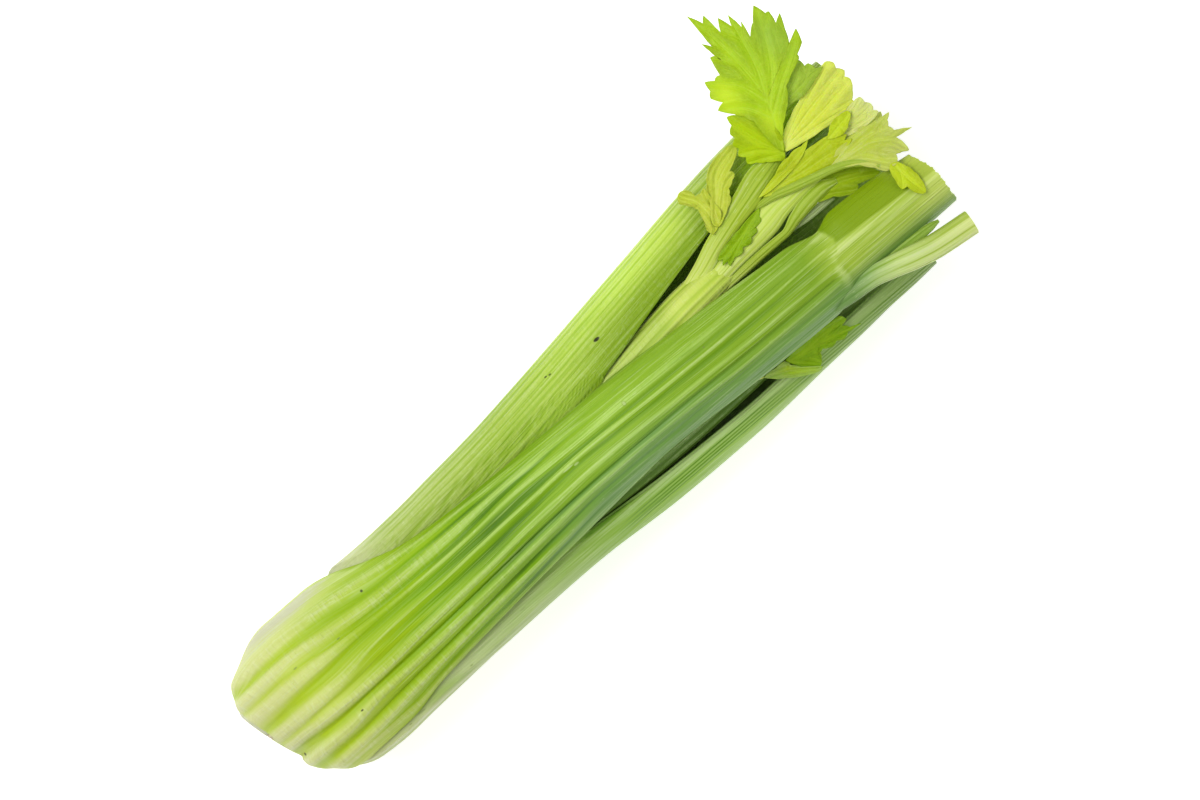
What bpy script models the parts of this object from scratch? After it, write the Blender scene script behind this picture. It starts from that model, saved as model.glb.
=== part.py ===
"""A head of celery, as picked and trimmed, lying on its side.

Ribbed leaf stalks nest round a short root plate. Five broad ones make the outside, narrower ones stand
inside them, and the pale heart stalk near the top carries the leaves.
Frame: metres, +X from the cut root end to the cut tops, +Z up, resting on z = 0.
"""

import math

import bmesh
import bpy
import numpy as np
from mathutils import Vector

# The whole head
ROOT_END_SLANT = 0.30
SLANT_FADES_AT = 0.024
NEST_GAP = 0.0009
EDGE_PAD = 0.0020
EDGE_RAMP = 1.8
PLATE_TOP = 0.009
# How it lies: z rises by these shares of x and y and by this height, and its middle moves to the origin
LYING = (0.0288, -0.0023, 0.0351)
ORIGIN = (0.1836, 0.0371)

# Distance from the root end, then the radius that the outer stalks reach
ENVELOPE = (
    (0.0, 0.0165), (0.004, 0.0225), (0.010, 0.0285), (0.020, 0.0345), (0.032, 0.0371), (0.045, 0.0378),
    (0.062, 0.0370), (0.090, 0.0364), (0.130, 0.0373), (0.180, 0.0405), (0.230, 0.0443), (0.280, 0.0474),
    (0.330, 0.0490), (0.368, 0.0494),
)
# Distance from the root end, then how far the head's middle bends to +Y
BEND = (
    (0.0, -0.003), (0.100, -0.0007), (0.150, 0.0017), (0.200, 0.0043), (0.250, 0.008), (0.300, 0.0125),
    (0.368, 0.0165),
)
# An outer stalk's crescent: distance, half width, depth, wrap in degrees, wall, lip
CRESCENT = (
    (0.0, 0.0165, 0.0165, 78, 0.0031, 0.0016),
    (0.010, 0.0285, 0.0285, 78, 0.0060, 0.0014),
    (0.030, 0.0366, 0.0366, 77, 0.0088, 0.0013),
    (0.050, 0.0376, 0.0376, 76, 0.0095, 0.0013),
    (0.080, 0.0310, 0.0300, 73, 0.0093, 0.0016),
    (0.100, 0.0270, 0.0250, 76, 0.0090, 0.0019),
    (0.150, 0.0227, 0.0210, 86, 0.0084, 0.0028),
    (0.200, 0.0207, 0.0190, 93, 0.0080, 0.0035),
    (0.250, 0.0200, 0.0175, 92, 0.0076, 0.0038),
    (0.300, 0.0196, 0.0156, 90, 0.0072, 0.0040),
    (0.318, 0.0160, 0.0138, 92, 0.0066, 0.0040),
    (0.368, 0.0152, 0.0128, 92, 0.0060, 0.0038),
)
STATIONS = (
    0.0, 0.004, 0.009, 0.013, 0.020, 0.031, 0.044, 0.055, 0.066, 0.078, 0.091, 0.106, 0.125, 0.148, 0.174,
    0.202, 0.230, 0.258, 0.284, 0.304, 0.318, 0.340, 0.368,
)

GREEN = (0.36, 0.56, 0.13, 1)
PALE_GREEN = (0.52, 0.70, 0.22, 1)
HEART_YELLOW = (0.72, 0.80, 0.38, 1)
LEAF_GREEN = (0.50, 0.72, 0.05, 1)
ROOT_CREAM = (0.80, 0.78, 0.62, 1)


class Stalk:
    """One leaf stalk: its facing round the head in degrees at some distances, its reach as a share of the
    envelope, its width and wall as shares of an outer stalk's, where it starts and ends, and its ribs."""

    def __init__(self, name, facing, reach, width, wall, start, end, ribs, groove, colour):
        self.name, self.facing, self.reach, self.width, self.wall = name, facing, reach, width, wall
        self.start, self.end, self.ribs, self.groove, self.colour = start, end, ribs, groove, colour


# Outermost first: each one nests under the edges of those before it
STALKS = (
    Stalk("stalk_front", ((0, 8), (0.05, 9), (0.08, -3), (0.10, -9), (0.15, -12), (0.20, -13), (0.25, -21),
                          (0.30, -30), (0.368, -33)), 1, 1, 1, 0, 0.368, 9, 0.0011, GREEN),
    Stalk("stalk_back_left", ((0, 150), (0.368, 150)), 1, 0.90, 1, 0, 0.366, 9, 0.0011, GREEN),
    Stalk("stalk_right", ((0, -78), (0.06, -80), (0.15, -100), (0.20, -107), (0.368, -109)),
          1, 0.88, 1, 0, 0.349, 8, 0.0010, GREEN),
    Stalk("stalk_left", ((0, 80), (0.05, 80), (0.12, 70), (0.19, 68), (0.26, 77), (0.368, 82)),
          1, 0.92, 1, 0, 0.364, 9, 0.0008, PALE_GREEN),
    Stalk("stalk_back_right", ((0, -143), (0.15, -152), (0.368, -153)), 1, 0.86, 1, 0, 0.367, 8, 0.0010, GREEN),
    Stalk("inner_stalk_left", ((0, 112), (0.368, 112)), 0.66, 0.95, 0.75, 0.013, 0.362, 6, 0.0007, PALE_GREEN),
    Stalk("inner_stalk_right", ((0, -52), (0.368, -62)), 0.66, 0.95, 0.75, 0.013, 0.358, 6, 0.0007, PALE_GREEN),
    Stalk("inner_stalk_back", ((0, 195), (0.368, 195)), 0.66, 0.95, 0.75, 0.013, 0.366, 6, 0.0007, PALE_GREEN),
    Stalk("heart_stalk_front", ((0, 30), (0.368, 28)), 0.66, 0.60, 0.75, 0.013, 0.296, 5, 0.0005, HEART_YELLOW),
    Stalk("heart_stalk_left", ((0, 95), (0.368, 95)), 0.34, 0.95, 0.45, 0.020, 0.330, 4, 0.0004, HEART_YELLOW),
    Stalk("heart_stalk_right", ((0, -85), (0.368, -85)), 0.34, 0.95, 0.45, 0.020, 0.340, 4, 0.0004,
          HEART_YELLOW),
)

# Stems that branch off a stalk: the stalk, the points they run through and their half widths there, in mm
BRANCHES = (
    ("stalk_front", ((303, -13, 34.5), (314, -16, 35.5), (330, -21.5, 36.5), (350, -25.5, 35.5), (369, -29, 34.5)),
     (3.4, 4.8, 4.2, 4.4, 5.0)),
    ("heart_stalk_front", ((276, 26, 23.5), (284, 30, 26), (292, 34, 28), (302, 39.5, 30), (318, 45, 32),
                           (336, 51, 34)), (3.0, 4.6, 5.2, 5.4, 4.6, 2.6)),
    ("heart_stalk_front", ((276, 21.5, 25), (290, 22.5, 26.5), (310, 27, 29.5), (330, 29, 33), (348, 27, 36)),
     (2.6, 3.6, 3.6, 3.0, 2.0)),
    ("heart_stalk_front", ((276, 18.5, 25), (290, 18, 26), (306, 19, 27), (330, 22, 29)), (2.0, 2.5, 2.4, 1.6)),
    ("inner_stalk_right", ((236, -15.5, 12.5), (250, -18.5, 13.5), (264, -23, 13.5)), (1.6, 1.5, 1.0)),
)
# Leaf blades: the stalk they grow on, the point that the veins fan out from, the height there, its rise
# with s and p, its sag with distance, the height of its pleats and their number, and the edge in mm
LEAVES = (
    ("heart_stalk_front", (333, 50), 34.5, (0.05, 0.20), 0.0040, 0.9, 9, (
        (348, 55), (362, 62), (356, 63), (357, 69), (351, 66.5), (364, 80.5), (359, 80), (363, 89), (358.5, 87),
        (360, 93), (357, 99), (350, 90), (344.5, 80), (348.5, 97), (346, 102.5), (343, 97), (342, 104.5),
        (338.4, 98), (338, 109.5), (335.6, 101), (333.2, 114), (331.8, 96), (329.8, 101), (329.3, 88),
        (327, 94), (327.5, 76), (320.5, 88), (321.5, 80.5), (317.8, 80.5), (320.5, 73.5), (317.5, 75),
        (326.2, 60), (318, 70), (314, 62), (311.5, 55), (316, 48), (325, 42))),
    ("heart_stalk_front", (333, 47.5), 34.0, (0.06, -0.02), 0.0030, 1.3, 13, (
        (345, 41), (364, 41.5), (363, 44), (368, 46), (369, 50), (365.5, 52), (367.5, 56), (366, 61.5),
        (355, 60), (345, 58), (336, 53), (329, 50), (329, 45))),
    ("heart_stalk_front", (310, 34), 32.5, (0.10, 0.02), 0.0015, 0.9, 10, (
        (322, 29), (334, 26.6), (347, 24), (345, 28), (352, 30), (346, 32.5), (350, 37), (338, 37), (338, 41),
        (327, 41.5), (316, 38.5), (306, 37), (306, 31))),
    ("heart_stalk_front", (346, 27), 36.2, (0.10, -0.72), 0.0127, 0.8, 11, (
        (350.5, 10), (356.5, -3), (361.5, -6.5), (360.5, 3), (358.5, 11), (366, 14), (372, 18), (367, 21),
        (370, 27), (366, 31), (367, 38), (358, 40), (350, 34), (340, 30), (340, 23), (347, 17))),
    ("heart_stalk_front", (287, 41), 28.6, (0, -0.02), 0.0010, 0.7, 6, (
        (291, 36), (292, 44), (291, 54), (286, 55), (283, 60), (279.5, 57.5), (283, 49), (281.5, 40), (285, 32))),
    ("heart_stalk_front", (296, 45), 31.0, (0, -0.08), 0.0015, 0.7, 6, (
        (300, 38), (303, 48), (308, 55), (313, 60), (305, 62), (298, 59), (292, 50), (292, 37))),
    ("heart_stalk_front", (300, 29.5), 30.8, (0.05, 0.02), 0.0010, 0.4, 8, (
        (306, 29), (300, 33.5), (290, 32), (284, 31), (279, 28), (281, 26), (277.5, 23), (285, 24.5), (289, 24),
        (295, 26.5), (305, 24.5))),
    ("heart_stalk_front", (314, 20), 28.6, (0.03, -0.05), 0.0008, 0.8, 7, (
        (322, 16.5), (333, 13), (341, 12.5), (336, 16), (351, 14.5), (346, 19), (334, 26), (322, 23.5),
        (312, 22.5), (308, 18))),
    ("inner_stalk_right", (262, -23), 13.8, (0, 0.55), 0.0006, 0.5, 8, (
        (266, -28), (274, -33), (282, -35.5), (281, -31), (293, -32), (291, -29), (306, -30), (299, -27),
        (303, -25), (285, -22.8), (270, -22.2), (259, -21.8))),
)
BLADE_THICKNESS = 0.0007


def smooth(pairs, at):
    """The height at a distance of a curve through (distance, height) pairs that never overshoots them."""
    x = np.array([pair[0] for pair in pairs], float)
    y = np.array([pair[1] for pair in pairs], float)
    slope = np.diff(y) / np.diff(x)
    total = slope[1:] + slope[:-1]
    same_way = slope[1:] * slope[:-1] > 0
    tangent = np.concatenate([
        slope[:1], np.where(same_way, 2 * slope[1:] * slope[:-1] / np.where(same_way, total, 1), 0), slope[-1:],
    ])
    k = int(np.clip(np.searchsorted(x, at) - 1, 0, len(x) - 2))
    span = x[k + 1] - x[k]
    t = float(np.clip((at - x[k]) / span, 0, 1))
    return float(
        y[k] * (1 + 2 * t) * (1 - t) ** 2 + tangent[k] * span * t * (1 - t) ** 2
        + y[k + 1] * t * t * (3 - 2 * t) + tangent[k + 1] * span * t * t * (t - 1)
    )


def crescent(stalk, s):
    """Facing and wrap in radians, apex radius, half width, depth, wall and lip of a stalk at distance s."""
    columns = list(zip(*CRESCENT))
    half_width, depth, wrap, wall, lip = (smooth(list(zip(columns[0], c)), s) for c in columns[1:])
    size = stalk.reach * stalk.width
    return (
        math.radians(smooth(stalk.facing, s)), math.radians(wrap), stalk.reach * smooth(ENVELOPE, s),
        half_width * size, depth * size, wall * stalk.wall, lip * stalk.wall,
    )


def room_under(laid, angle, spread):
    """The radius that the stalks laid so far leave free within a spread of these angles round the head."""
    room = np.full(angle.shape, 1.0)
    for facing, inner_angle, inner_radius, edge in laid:
        for offset in np.linspace(-spread, spread, 5):
            turned = (angle + offset - facing + math.pi) % (2 * math.pi) - math.pi
            under = np.interp(turned, inner_angle, inner_radius) - NEST_GAP
            past_edge = np.abs(turned) - edge - EDGE_PAD / under
            room = np.minimum(room, under * (1 + np.maximum(past_edge, 0) * EDGE_RAMP + 100 * (past_edge > 0.6)))
    return room


def around(angle, radius):
    """Points (y, z) at these angles from straight up and these radii."""
    return np.stack([radius * np.sin(angle), radius * np.cos(angle)], 1)


def nest(s, rib_steps=2, inner_steps=6):
    """Every stalk's section at distance s: {name: (outer points, inner points)}, each point (y, z) from the
    head's middle. An outer point comes rib_steps times for each rib. The root plate fills what is left."""
    laid, sections = [], {}
    for stalk in STALKS:
        if not stalk.start <= s <= stalk.end:
            continue
        facing, wrap, apex, half_width, depth, wall, lip = crescent(stalk, s)
        middle = apex - depth
        q = np.linspace(-1, 1, stalk.ribs * rib_steps + 1)
        across, out = half_width * np.sin(q * wrap), middle + depth * np.cos(q * wrap)
        angle, radius = np.arctan2(across, out), np.hypot(across, out)
        radius = np.minimum(radius, room_under(laid, angle + facing, np.diff(angle).max()))
        q_in = np.linspace(-1, 1, inner_steps + 1)
        thick = lip + (wall - lip) * np.cos(q_in * math.pi / 2) ** 0.8
        across_in = (half_width - thick) * np.sin(q_in * wrap)
        out_in = middle + (depth - thick) * np.cos(q_in * wrap)
        angle_in = np.arctan2(across_in, out_in)
        radius_in = np.minimum(np.hypot(across_in, out_in), np.interp(angle_in, angle, radius) - thick)
        radius_in = np.maximum(radius_in, 0.0010)
        chord = math.cos(np.diff(angle_in).max() / 2)
        laid.append((facing, angle_in, radius_in * chord, np.abs(angle).max()))
        ridge = np.abs(np.sin(q * stalk.ribs * math.pi / 2 + (stalk.ribs % 2) * math.pi / 2))
        radius = radius - stalk.groove * (1 - ridge) * (1 - q**6)
        sections[stalk.name] = around(angle + facing, radius), around(angle_in + facing, radius_in)
    if s <= PLATE_TOP:
        angle = np.linspace(-math.pi, math.pi, 12 * rib_steps + 1)[:-1]
        sections["root_plate"] = around(angle, room_under(laid, angle, angle[1] - angle[0])), np.zeros((0, 2))
    return sections


def placed(s, points):
    """Section points (y, z) from the head's middle, as points in the model with the root end slanted."""
    fade = 1 - min(s / SLANT_FADES_AT, 1)
    slant = ROOT_END_SLANT * fade * fade * (1 + 2 * (1 - fade))
    return [Vector((s - slant * y, y + smooth(BEND, s), z)) for y, z in points]


def material(name, colour):
    made = bpy.data.materials.new(name)
    made.use_nodes = True
    shader = made.node_tree.nodes["Principled BSDF"]
    shader.inputs["Base Color"].default_value = colour
    shader.inputs["Roughness"].default_value = 0.42
    return made


def solid(name, mesh, colour):
    """A new object of this mesh, with its faces turned outward."""
    bmesh.ops.recalc_face_normals(mesh, faces=mesh.faces)
    data = bpy.data.meshes.new(name)
    mesh.to_mesh(data)
    mesh.free()
    made = bpy.data.objects.new(name, data)
    HEAD.objects.link(made)
    made.data.materials.append(material(name, colour))
    return made


def loft(name, rings, colour):
    """A closed solid through rings of points, each ring with as many."""
    mesh = bmesh.new()
    rows = [[mesh.verts.new(point) for point in ring] for ring in rings]
    count = len(rows[0])
    for row, following in zip(rows, rows[1:]):
        for k in range(count):
            after = (k + 1) % count
            mesh.faces.new((row[k], row[after], following[after], following[k]))
    mesh.faces.new(rows[0][::-1])
    mesh.faces.new(rows[-1])
    return solid(name, mesh, colour)


def stem(name, path, half_widths, colour, sides=9, flatness=0.72):
    """A branching stem: an oval tube through a path, whose section narrows upward."""
    path = [Vector(point) / 1000 for point in path]
    rings = []
    for k, point in enumerate(path):
        along = (path[min(k + 1, len(path) - 1)] - path[max(k - 1, 0)]).normalized()
        aside = along.cross(Vector((0, 0, 1))).normalized()
        upward = aside.cross(along)
        turns = np.linspace(0, 2 * math.pi, sides, endpoint=False)
        size = half_widths[k] / 1000
        rings.append([point + size * (math.cos(t) * aside + flatness * math.sin(t) * upward) for t in turns])
    return loft(name, rings, colour)


def blade(name, centre, height, rise, sag, pleat, pleats, edge, colour, rings=(0.3, 0.65, 1)):
    """A leaf blade: a pleated sheet that fans out from a centre to its toothed edge, with both faces split
    into the same triangles."""
    mesh = bmesh.new()

    def point(x, y):
        away = math.hypot(x, y)
        lift = rise[0] * x + rise[1] * y - sag * away**2
        lift += pleat * math.cos(pleats * math.atan2(y, x)) * min(away / 15, 1)
        return mesh.verts.new(Vector((centre[0] + x, centre[1] + y, height + lift)) / 1000)

    middle = point(0, 0)
    fans = [[point(share * (x - centre[0]), share * (y - centre[1])) for x, y in edge] for share in rings]
    for k in range(len(edge)):
        after = (k + 1) % len(edge)
        mesh.faces.new((middle, fans[0][k], fans[0][after]))
        for low, high in zip(fans, fans[1:]):
            mesh.faces.new((low[k], high[k], high[after]))
            mesh.faces.new((low[k], high[after], low[after]))
    mesh.normal_update()
    under = {v: mesh.verts.new(v.co - v.normal * BLADE_THICKNESS / 2) for v in list(mesh.verts)}
    for face in list(mesh.faces):
        mesh.faces.new([under[v] for v in reversed(face.verts)])
    for v in under:
        v.co += v.normal * BLADE_THICKNESS / 2
    rim = fans[-1]
    for k in range(len(edge)):
        after = rim[(k + 1) % len(edge)]
        mesh.faces.new((rim[k], under[rim[k]], under[after], after))
    bmesh.ops.triangulate(mesh, faces=mesh.faces)
    return solid(name, mesh, colour)


def fuse(body, extras):
    """Unites a stalk with the stems and blades that grow on it."""
    group = bpy.data.collections.new("grown_on_" + body.name)
    for extra in extras:
        group.objects.link(extra)
    union = body.modifiers.new("union", "BOOLEAN")
    union.operation = "UNION"
    union.operand_type = "COLLECTION"
    union.collection = group
    union.solver = "MANIFOLD"
    whole = bpy.data.meshes.new_from_object(body.evaluated_get(bpy.context.evaluated_depsgraph_get()))
    body.modifiers.clear()
    body.data = whole
    for extra in extras:
        bpy.data.objects.remove(extra)
    bpy.data.collections.remove(group)


def lay_down(body):
    """Tilts a piece onto its three low points, flattens it where it touches and centres it."""
    along, across, height = LYING
    for v in body.data.vertices:
        v.co.z = max(v.co.z + along * v.co.x + across * v.co.y + height, 0)
        v.co.x -= ORIGIN[0]
        v.co.y -= ORIGIN[1]


for old in list(bpy.data.objects):
    bpy.data.objects.remove(old)
HEAD = bpy.data.collections.new("celery_head")
bpy.context.scene.collection.children.link(HEAD)

bodies = {}
for stalk in STALKS:
    between = [s for s in STATIONS if stalk.start < s < stalk.end - 0.002]
    rings = []
    for s in [stalk.start, *between, stalk.end]:
        outer, inner = nest(s)[stalk.name]
        rings.append(placed(s, [*outer, *inner[::-1]]))
    bodies[stalk.name] = loft(stalk.name, rings, stalk.colour)
plate_rings = [placed(s, nest(s)["root_plate"][0]) for s in STATIONS if s <= PLATE_TOP]
bodies["root_plate"] = loft("root_plate", plate_rings, ROOT_CREAM)

for name in ("stalk_front", "heart_stalk_front", "inner_stalk_right"):
    grown = [stem("stem", path, sizes, PALE_GREEN) for owner, path, sizes in BRANCHES if owner == name]
    grown += [blade("blade", *leaf[1:], LEAF_GREEN) for leaf in LEAVES if leaf[0] == name]
    fuse(bodies[name], grown)
for body in bodies.values():
    lay_down(body)
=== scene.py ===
"""A head of celery, as picked and trimmed, lying on its side and seen from above.

Its stalks are laid one after another from the outside in, as they wrap round one another in the real head.
"""

import math

import bpy
import numpy as np
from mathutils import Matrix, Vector


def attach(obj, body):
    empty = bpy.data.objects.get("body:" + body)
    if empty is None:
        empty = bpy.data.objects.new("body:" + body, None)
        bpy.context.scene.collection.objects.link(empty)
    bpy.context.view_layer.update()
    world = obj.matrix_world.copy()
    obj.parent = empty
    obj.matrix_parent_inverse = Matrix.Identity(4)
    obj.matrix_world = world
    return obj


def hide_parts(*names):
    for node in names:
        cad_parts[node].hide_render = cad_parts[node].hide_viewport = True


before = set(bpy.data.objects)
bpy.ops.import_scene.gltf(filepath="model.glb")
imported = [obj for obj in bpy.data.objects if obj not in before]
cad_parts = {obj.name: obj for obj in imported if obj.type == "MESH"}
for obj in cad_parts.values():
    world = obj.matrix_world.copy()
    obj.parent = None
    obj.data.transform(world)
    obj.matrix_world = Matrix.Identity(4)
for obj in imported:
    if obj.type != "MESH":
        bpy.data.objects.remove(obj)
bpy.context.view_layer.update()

# ---- The front stalk ------------------------------------------------------------------------------------
# The broad outer leaf stalk on top: a crescent of crisp flesh with strings under its ribs, cream where it
# grows from the root plate and green above. It has a joint near the top, and past it the cut leaf stem.

# The head's length in metres, and the distances from the root end at which every stalk has a section
TOP = 0.368
STATIONS = sorted(float(s) for s in {
    *np.round(np.arange(0, 0.012, 0.001), 4), *np.round(np.arange(0.012, TOP, 0.0012), 4),
    0.009, 0.013, 0.020, 0.296, 0.330, 0.340, 0.349, 0.358, 0.362, 0.364, 0.366, 0.367, TOP,
})
# How the root end slants, how far up that and its uneven edge reach, and how far down the top's edge does
ROOT_END_SLANT, SLANT_FADES_AT, ROOT_EDGE_FADES_AT, TOP_EDGE_STARTS = 0.30, 0.024, 0.028, 0.016
# The gap between stalks, and how the room for a stalk grows past the edge of the one over it
NEST_GAP, EDGE_PAD, EDGE_RAMP, FREE_PAST_EDGE = 0.0005, 0.0003, 3.0, 0.6
LEAST_RADIUS, MOST_LIP_BULGE, LIP_POINTS = 0.0010, 0.0014, 4
# How the lying head rises along and across, its middle's height, and the middle of its box
LYING, ORIGIN = (0.0288, -0.0023, 0.0351), (0.1836, 0.0371)
# What each point of a skin carries for its finish
SKIN_VALUES = ("along", "across", "pale", "deep", "bead", "calm", "fibre", "cut")

# Distance from the root end, then the radius that the outer stalks reach
ENVELOPE = (
    (0.0, 0.0165), (0.004, 0.0225), (0.010, 0.0285), (0.020, 0.0345), (0.032, 0.0371), (0.045, 0.0378),
    (0.062, 0.0370), (0.090, 0.0364), (0.130, 0.0373), (0.180, 0.0405), (0.230, 0.0443), (0.280, 0.0474),
    (0.330, 0.0490), (TOP, 0.0494),
)
# Distance from the root end, then how far the head's middle bends to +Y
BEND = (
    (0.0, -0.003), (0.100, -0.0007), (0.150, 0.0017), (0.200, 0.0043), (0.250, 0.008), (0.300, 0.0125),
    (TOP, 0.0165),
)
# An outer stalk's crescent: distance, half width, depth, wrap in degrees, wall, lip
CRESCENT = (
    (0.0, 0.0165, 0.0165, 78, 0.0031, 0.0016),
    (0.010, 0.0285, 0.0285, 78, 0.0060, 0.0014),
    (0.030, 0.0366, 0.0366, 77, 0.0088, 0.0013),
    (0.050, 0.0376, 0.0376, 76, 0.0095, 0.0013),
    (0.080, 0.0310, 0.0300, 73, 0.0093, 0.0016),
    (0.100, 0.0270, 0.0250, 76, 0.0090, 0.0019),
    (0.150, 0.0227, 0.0210, 86, 0.0084, 0.0028),
    (0.200, 0.0207, 0.0190, 93, 0.0080, 0.0035),
    (0.250, 0.0200, 0.0175, 92, 0.0076, 0.0038),
    (0.300, 0.0196, 0.0156, 90, 0.0072, 0.0040),
    (0.318, 0.0160, 0.0138, 92, 0.0066, 0.0040),
    (TOP, 0.0152, 0.0128, 92, 0.0060, 0.0038),
)


def smooth(pairs, at):
    """The heights at some distances of a curve through (distance, height) pairs that never overshoots."""
    x = np.array([pair[0] for pair in pairs], float)
    y = np.array([pair[1] for pair in pairs], float)
    at = np.asarray(at, float)
    slope = np.diff(y) / np.diff(x)
    total = slope[1:] + slope[:-1]
    same_way = slope[1:] * slope[:-1] > 0
    between = np.where(same_way, 2 * slope[1:] * slope[:-1] / np.where(same_way, total, 1), 0)
    tangent = np.concatenate([slope[:1], between, slope[-1:]])
    k = np.clip(np.searchsorted(x, at) - 1, 0, len(x) - 2)
    span = x[k + 1] - x[k]
    t = np.clip((at - x[k]) / span, 0, 1)
    return (
        y[k] * (1 + 2 * t) * (1 - t) ** 2 + tangent[k] * span * t * (1 - t) ** 2
        + y[k + 1] * t * t * (3 - 2 * t) + tangent[k + 1] * span * t * t * (t - 1)
    )


def placed(s, y, z):
    """Points at distance s and (y, z) from the head's middle, as points where the head lies."""
    fade = 1 - np.minimum(s / SLANT_FADES_AT, 1)
    x = s - ROOT_END_SLANT * fade**2 * (1 + 2 * (1 - fade)) * y
    return laid_down(x, y + smooth(BEND, s), z)


def laid_down(x, y, z):
    """Points of the upright head, tilted onto its three low points and centred."""
    along, across, height = LYING
    low = np.maximum(z + along * x + across * y + height, 0)
    return np.stack(np.broadcast_arrays(x - ORIGIN[0], y - ORIGIN[1], low), -1)


def room_under(laid, angle, spread):
    """The radius that the stalks laid so far leave free within a spread of these angles round the head."""
    room = np.full(angle.shape, 1.0)
    for facing, inner_angle, inner_radius, edge in laid:
        for offset in np.linspace(-spread, spread, 3):
            turned = (angle + offset - facing + math.pi) % (2 * math.pi) - math.pi
            under = np.interp(turned, inner_angle, inner_radius) - NEST_GAP
            past_edge = np.abs(turned) - edge - EDGE_PAD / under
            ramp = np.maximum(past_edge, 0) * EDGE_RAMP + 100 * (past_edge > FREE_PAST_EDGE)
            room = np.minimum(room, under * (1 + ramp))
    return room


laid_at = {s: [] for s in STATIONS}


def lay_stalk(name, facing, reach, width, wall, start, end, skin_relief, across_points=112, every=2,
              root_edge=((-1, 0), (1, 0)), top_edge=None, fibre_width=0.022):
    """Lays the next stalk under those laid so far and returns its piece.

    skin_relief gives, for a distance and points across, how deep the skin lies and the values for its
    finish. root_edge and top_edge give, in millimetres across, how far its ends stand out past plain cuts.
    """
    reaches, widths = (
        size if isinstance(size, tuple) else ((0, size), (1, size)) for size in (reach, width))
    q, q_in = np.linspace(-1, 1, across_points + 1), np.linspace(-1, 1, across_points // 4 + 1)
    rows, values = [], []
    for number, s in enumerate(STATIONS):
        if not start <= s <= end:
            continue
        half_width, depth, wrap, thick, lip = (
            float(smooth([(row[0], row[k]) for row in CRESCENT], s)) for k in range(1, 6)
        )
        reach, width = float(smooth(reaches, s)), float(smooth(widths, s))
        half_width, depth = half_width * reach * width, depth * reach * width
        thick, lip = thick * wall, lip * wall
        turn, wrap = math.radians(float(smooth(facing, s))), math.radians(wrap)
        middle = reach * float(smooth(ENVELOPE, s)) - depth
        wide, out = half_width * np.sin(q * wrap), middle + depth * np.cos(q * wrap)
        angle, radius = np.arctan2(wide, out), np.hypot(wide, out)
        radius = np.minimum(radius, room_under(laid_at[s], angle + turn, np.diff(angle).max()))
        t = 0.6 * lip + (thick - 0.6 * lip) * np.cos(q_in * math.pi / 2) ** 1.5
        wide_in, out_in = (half_width - t) * np.sin(q_in * wrap), middle + (depth - t) * np.cos(q_in * wrap)
        angle_in = np.arctan2(wide_in, out_in)
        radius_in = np.minimum(np.hypot(wide_in, out_in), np.interp(angle_in, angle, radius) - t)
        radius_in = np.maximum(radius_in, LEAST_RADIUS)
        laid_at[s].append((turn, angle_in, radius_in, np.abs(angle).max()))
        if number % every and s not in (start, end) and end - s > 0.0005:
            continue
        across = 1000 * (radius * np.sin(angle + turn) + smooth(BEND, s))
        relief, pale, deep, bead, *rest_of_values = skin_relief(1000 * s, q, across)
        fibre, calm = rest_of_values or (q * 1000 * fibre_width, 0 * q)
        radius = radius - relief / 1000 * (1 - q**8)
        y, z = radius * np.sin(angle + turn), radius * np.cos(angle + turn)
        y_in, z_in = radius_in * np.sin(angle_in + turn), radius_in * np.cos(angle_in + turn)
        far_lip, near_lip = (
            rounded_lip((y[k], z[k]), (y_in[k], z_in[k]), (y[k] - y[j], z[k] - z[j]))
            for k, j in ((-1, -3), (0, 2)))
        ring = np.concatenate([
            np.stack([y, z], 1), far_lip, np.stack([y_in, z_in], 1)[::-1], near_lip[::-1],
            [(y[0], z[0])],
        ])
        y = 1000 * ring[:, 0]
        ahead = -smooth(root_edge, y) * max(0, 1 - (s / ROOT_EDGE_FADES_AT) ** 2)
        if top_edge:
            near = max(0, 1 - (end - s) / TOP_EDGE_STARTS)
            torn = 0.22 * np.sin(y * 1.7) + 0.16 * np.sin(y * 3.9)
            ahead += smooth(top_edge, y) * near**1.5 + torn * near**8
        rows.append(placed(s, ring[:, 0], ring[:, 1]) + ahead[:, None] * (0.001, 0, 0))
        rest = len(ring) - len(q)
        inner_q = np.concatenate([np.ones(len(far_lip)), q_in[::-1], -np.ones(len(near_lip)), [-1]])
        values.append((
            np.full(len(ring), s), np.concatenate([q, inner_q]),
            *(np.concatenate([v, np.full(rest, v[[0, -1]].mean())]) for v in (pale, deep, bead, calm)),
            np.concatenate([fibre, inner_q * 1000 * fibre_width]),
            np.full(len(ring), float(s in (start, end))),
        ))
    columns = np.array(values, np.float32).transpose(1, 0, 2)
    return with_values(skin(name, np.array(rows)), dict(zip(SKIN_VALUES, columns)), 48)


def rounded_lip(outer, inner, outward):
    """Points of an arc from a section's outer edge to its inner edge, bulging the way the skin runs."""
    outer, inner, outward = (np.array(part) for part in (outer, inner, outward))
    turn = np.linspace(0, math.pi, LIP_POINTS + 2)[1:-1, None]
    bulge = min(np.hypot(*(outer - inner)) / 2, MOST_LIP_BULGE) / max(np.hypot(*outward), 1e-9)
    middle = (outer + inner) / 2
    return middle + (outer - middle) * np.cos(turn) + outward * bulge * np.sin(turn)


def skin(name, rows):
    """A piece made from a flat grid whose points are moved to these rows."""
    bpy.ops.object.select_all(action="DESELECT")
    count, width = rows.shape[:2]
    bpy.ops.mesh.primitive_grid_add(x_subdivisions=width - 1, y_subdivisions=count - 1, size=1)
    piece = bpy.context.object
    piece.name = piece.data.name = name
    piece.data.vertices.foreach_set("co", rows.reshape(-1).astype(np.float32))
    return piece


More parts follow.
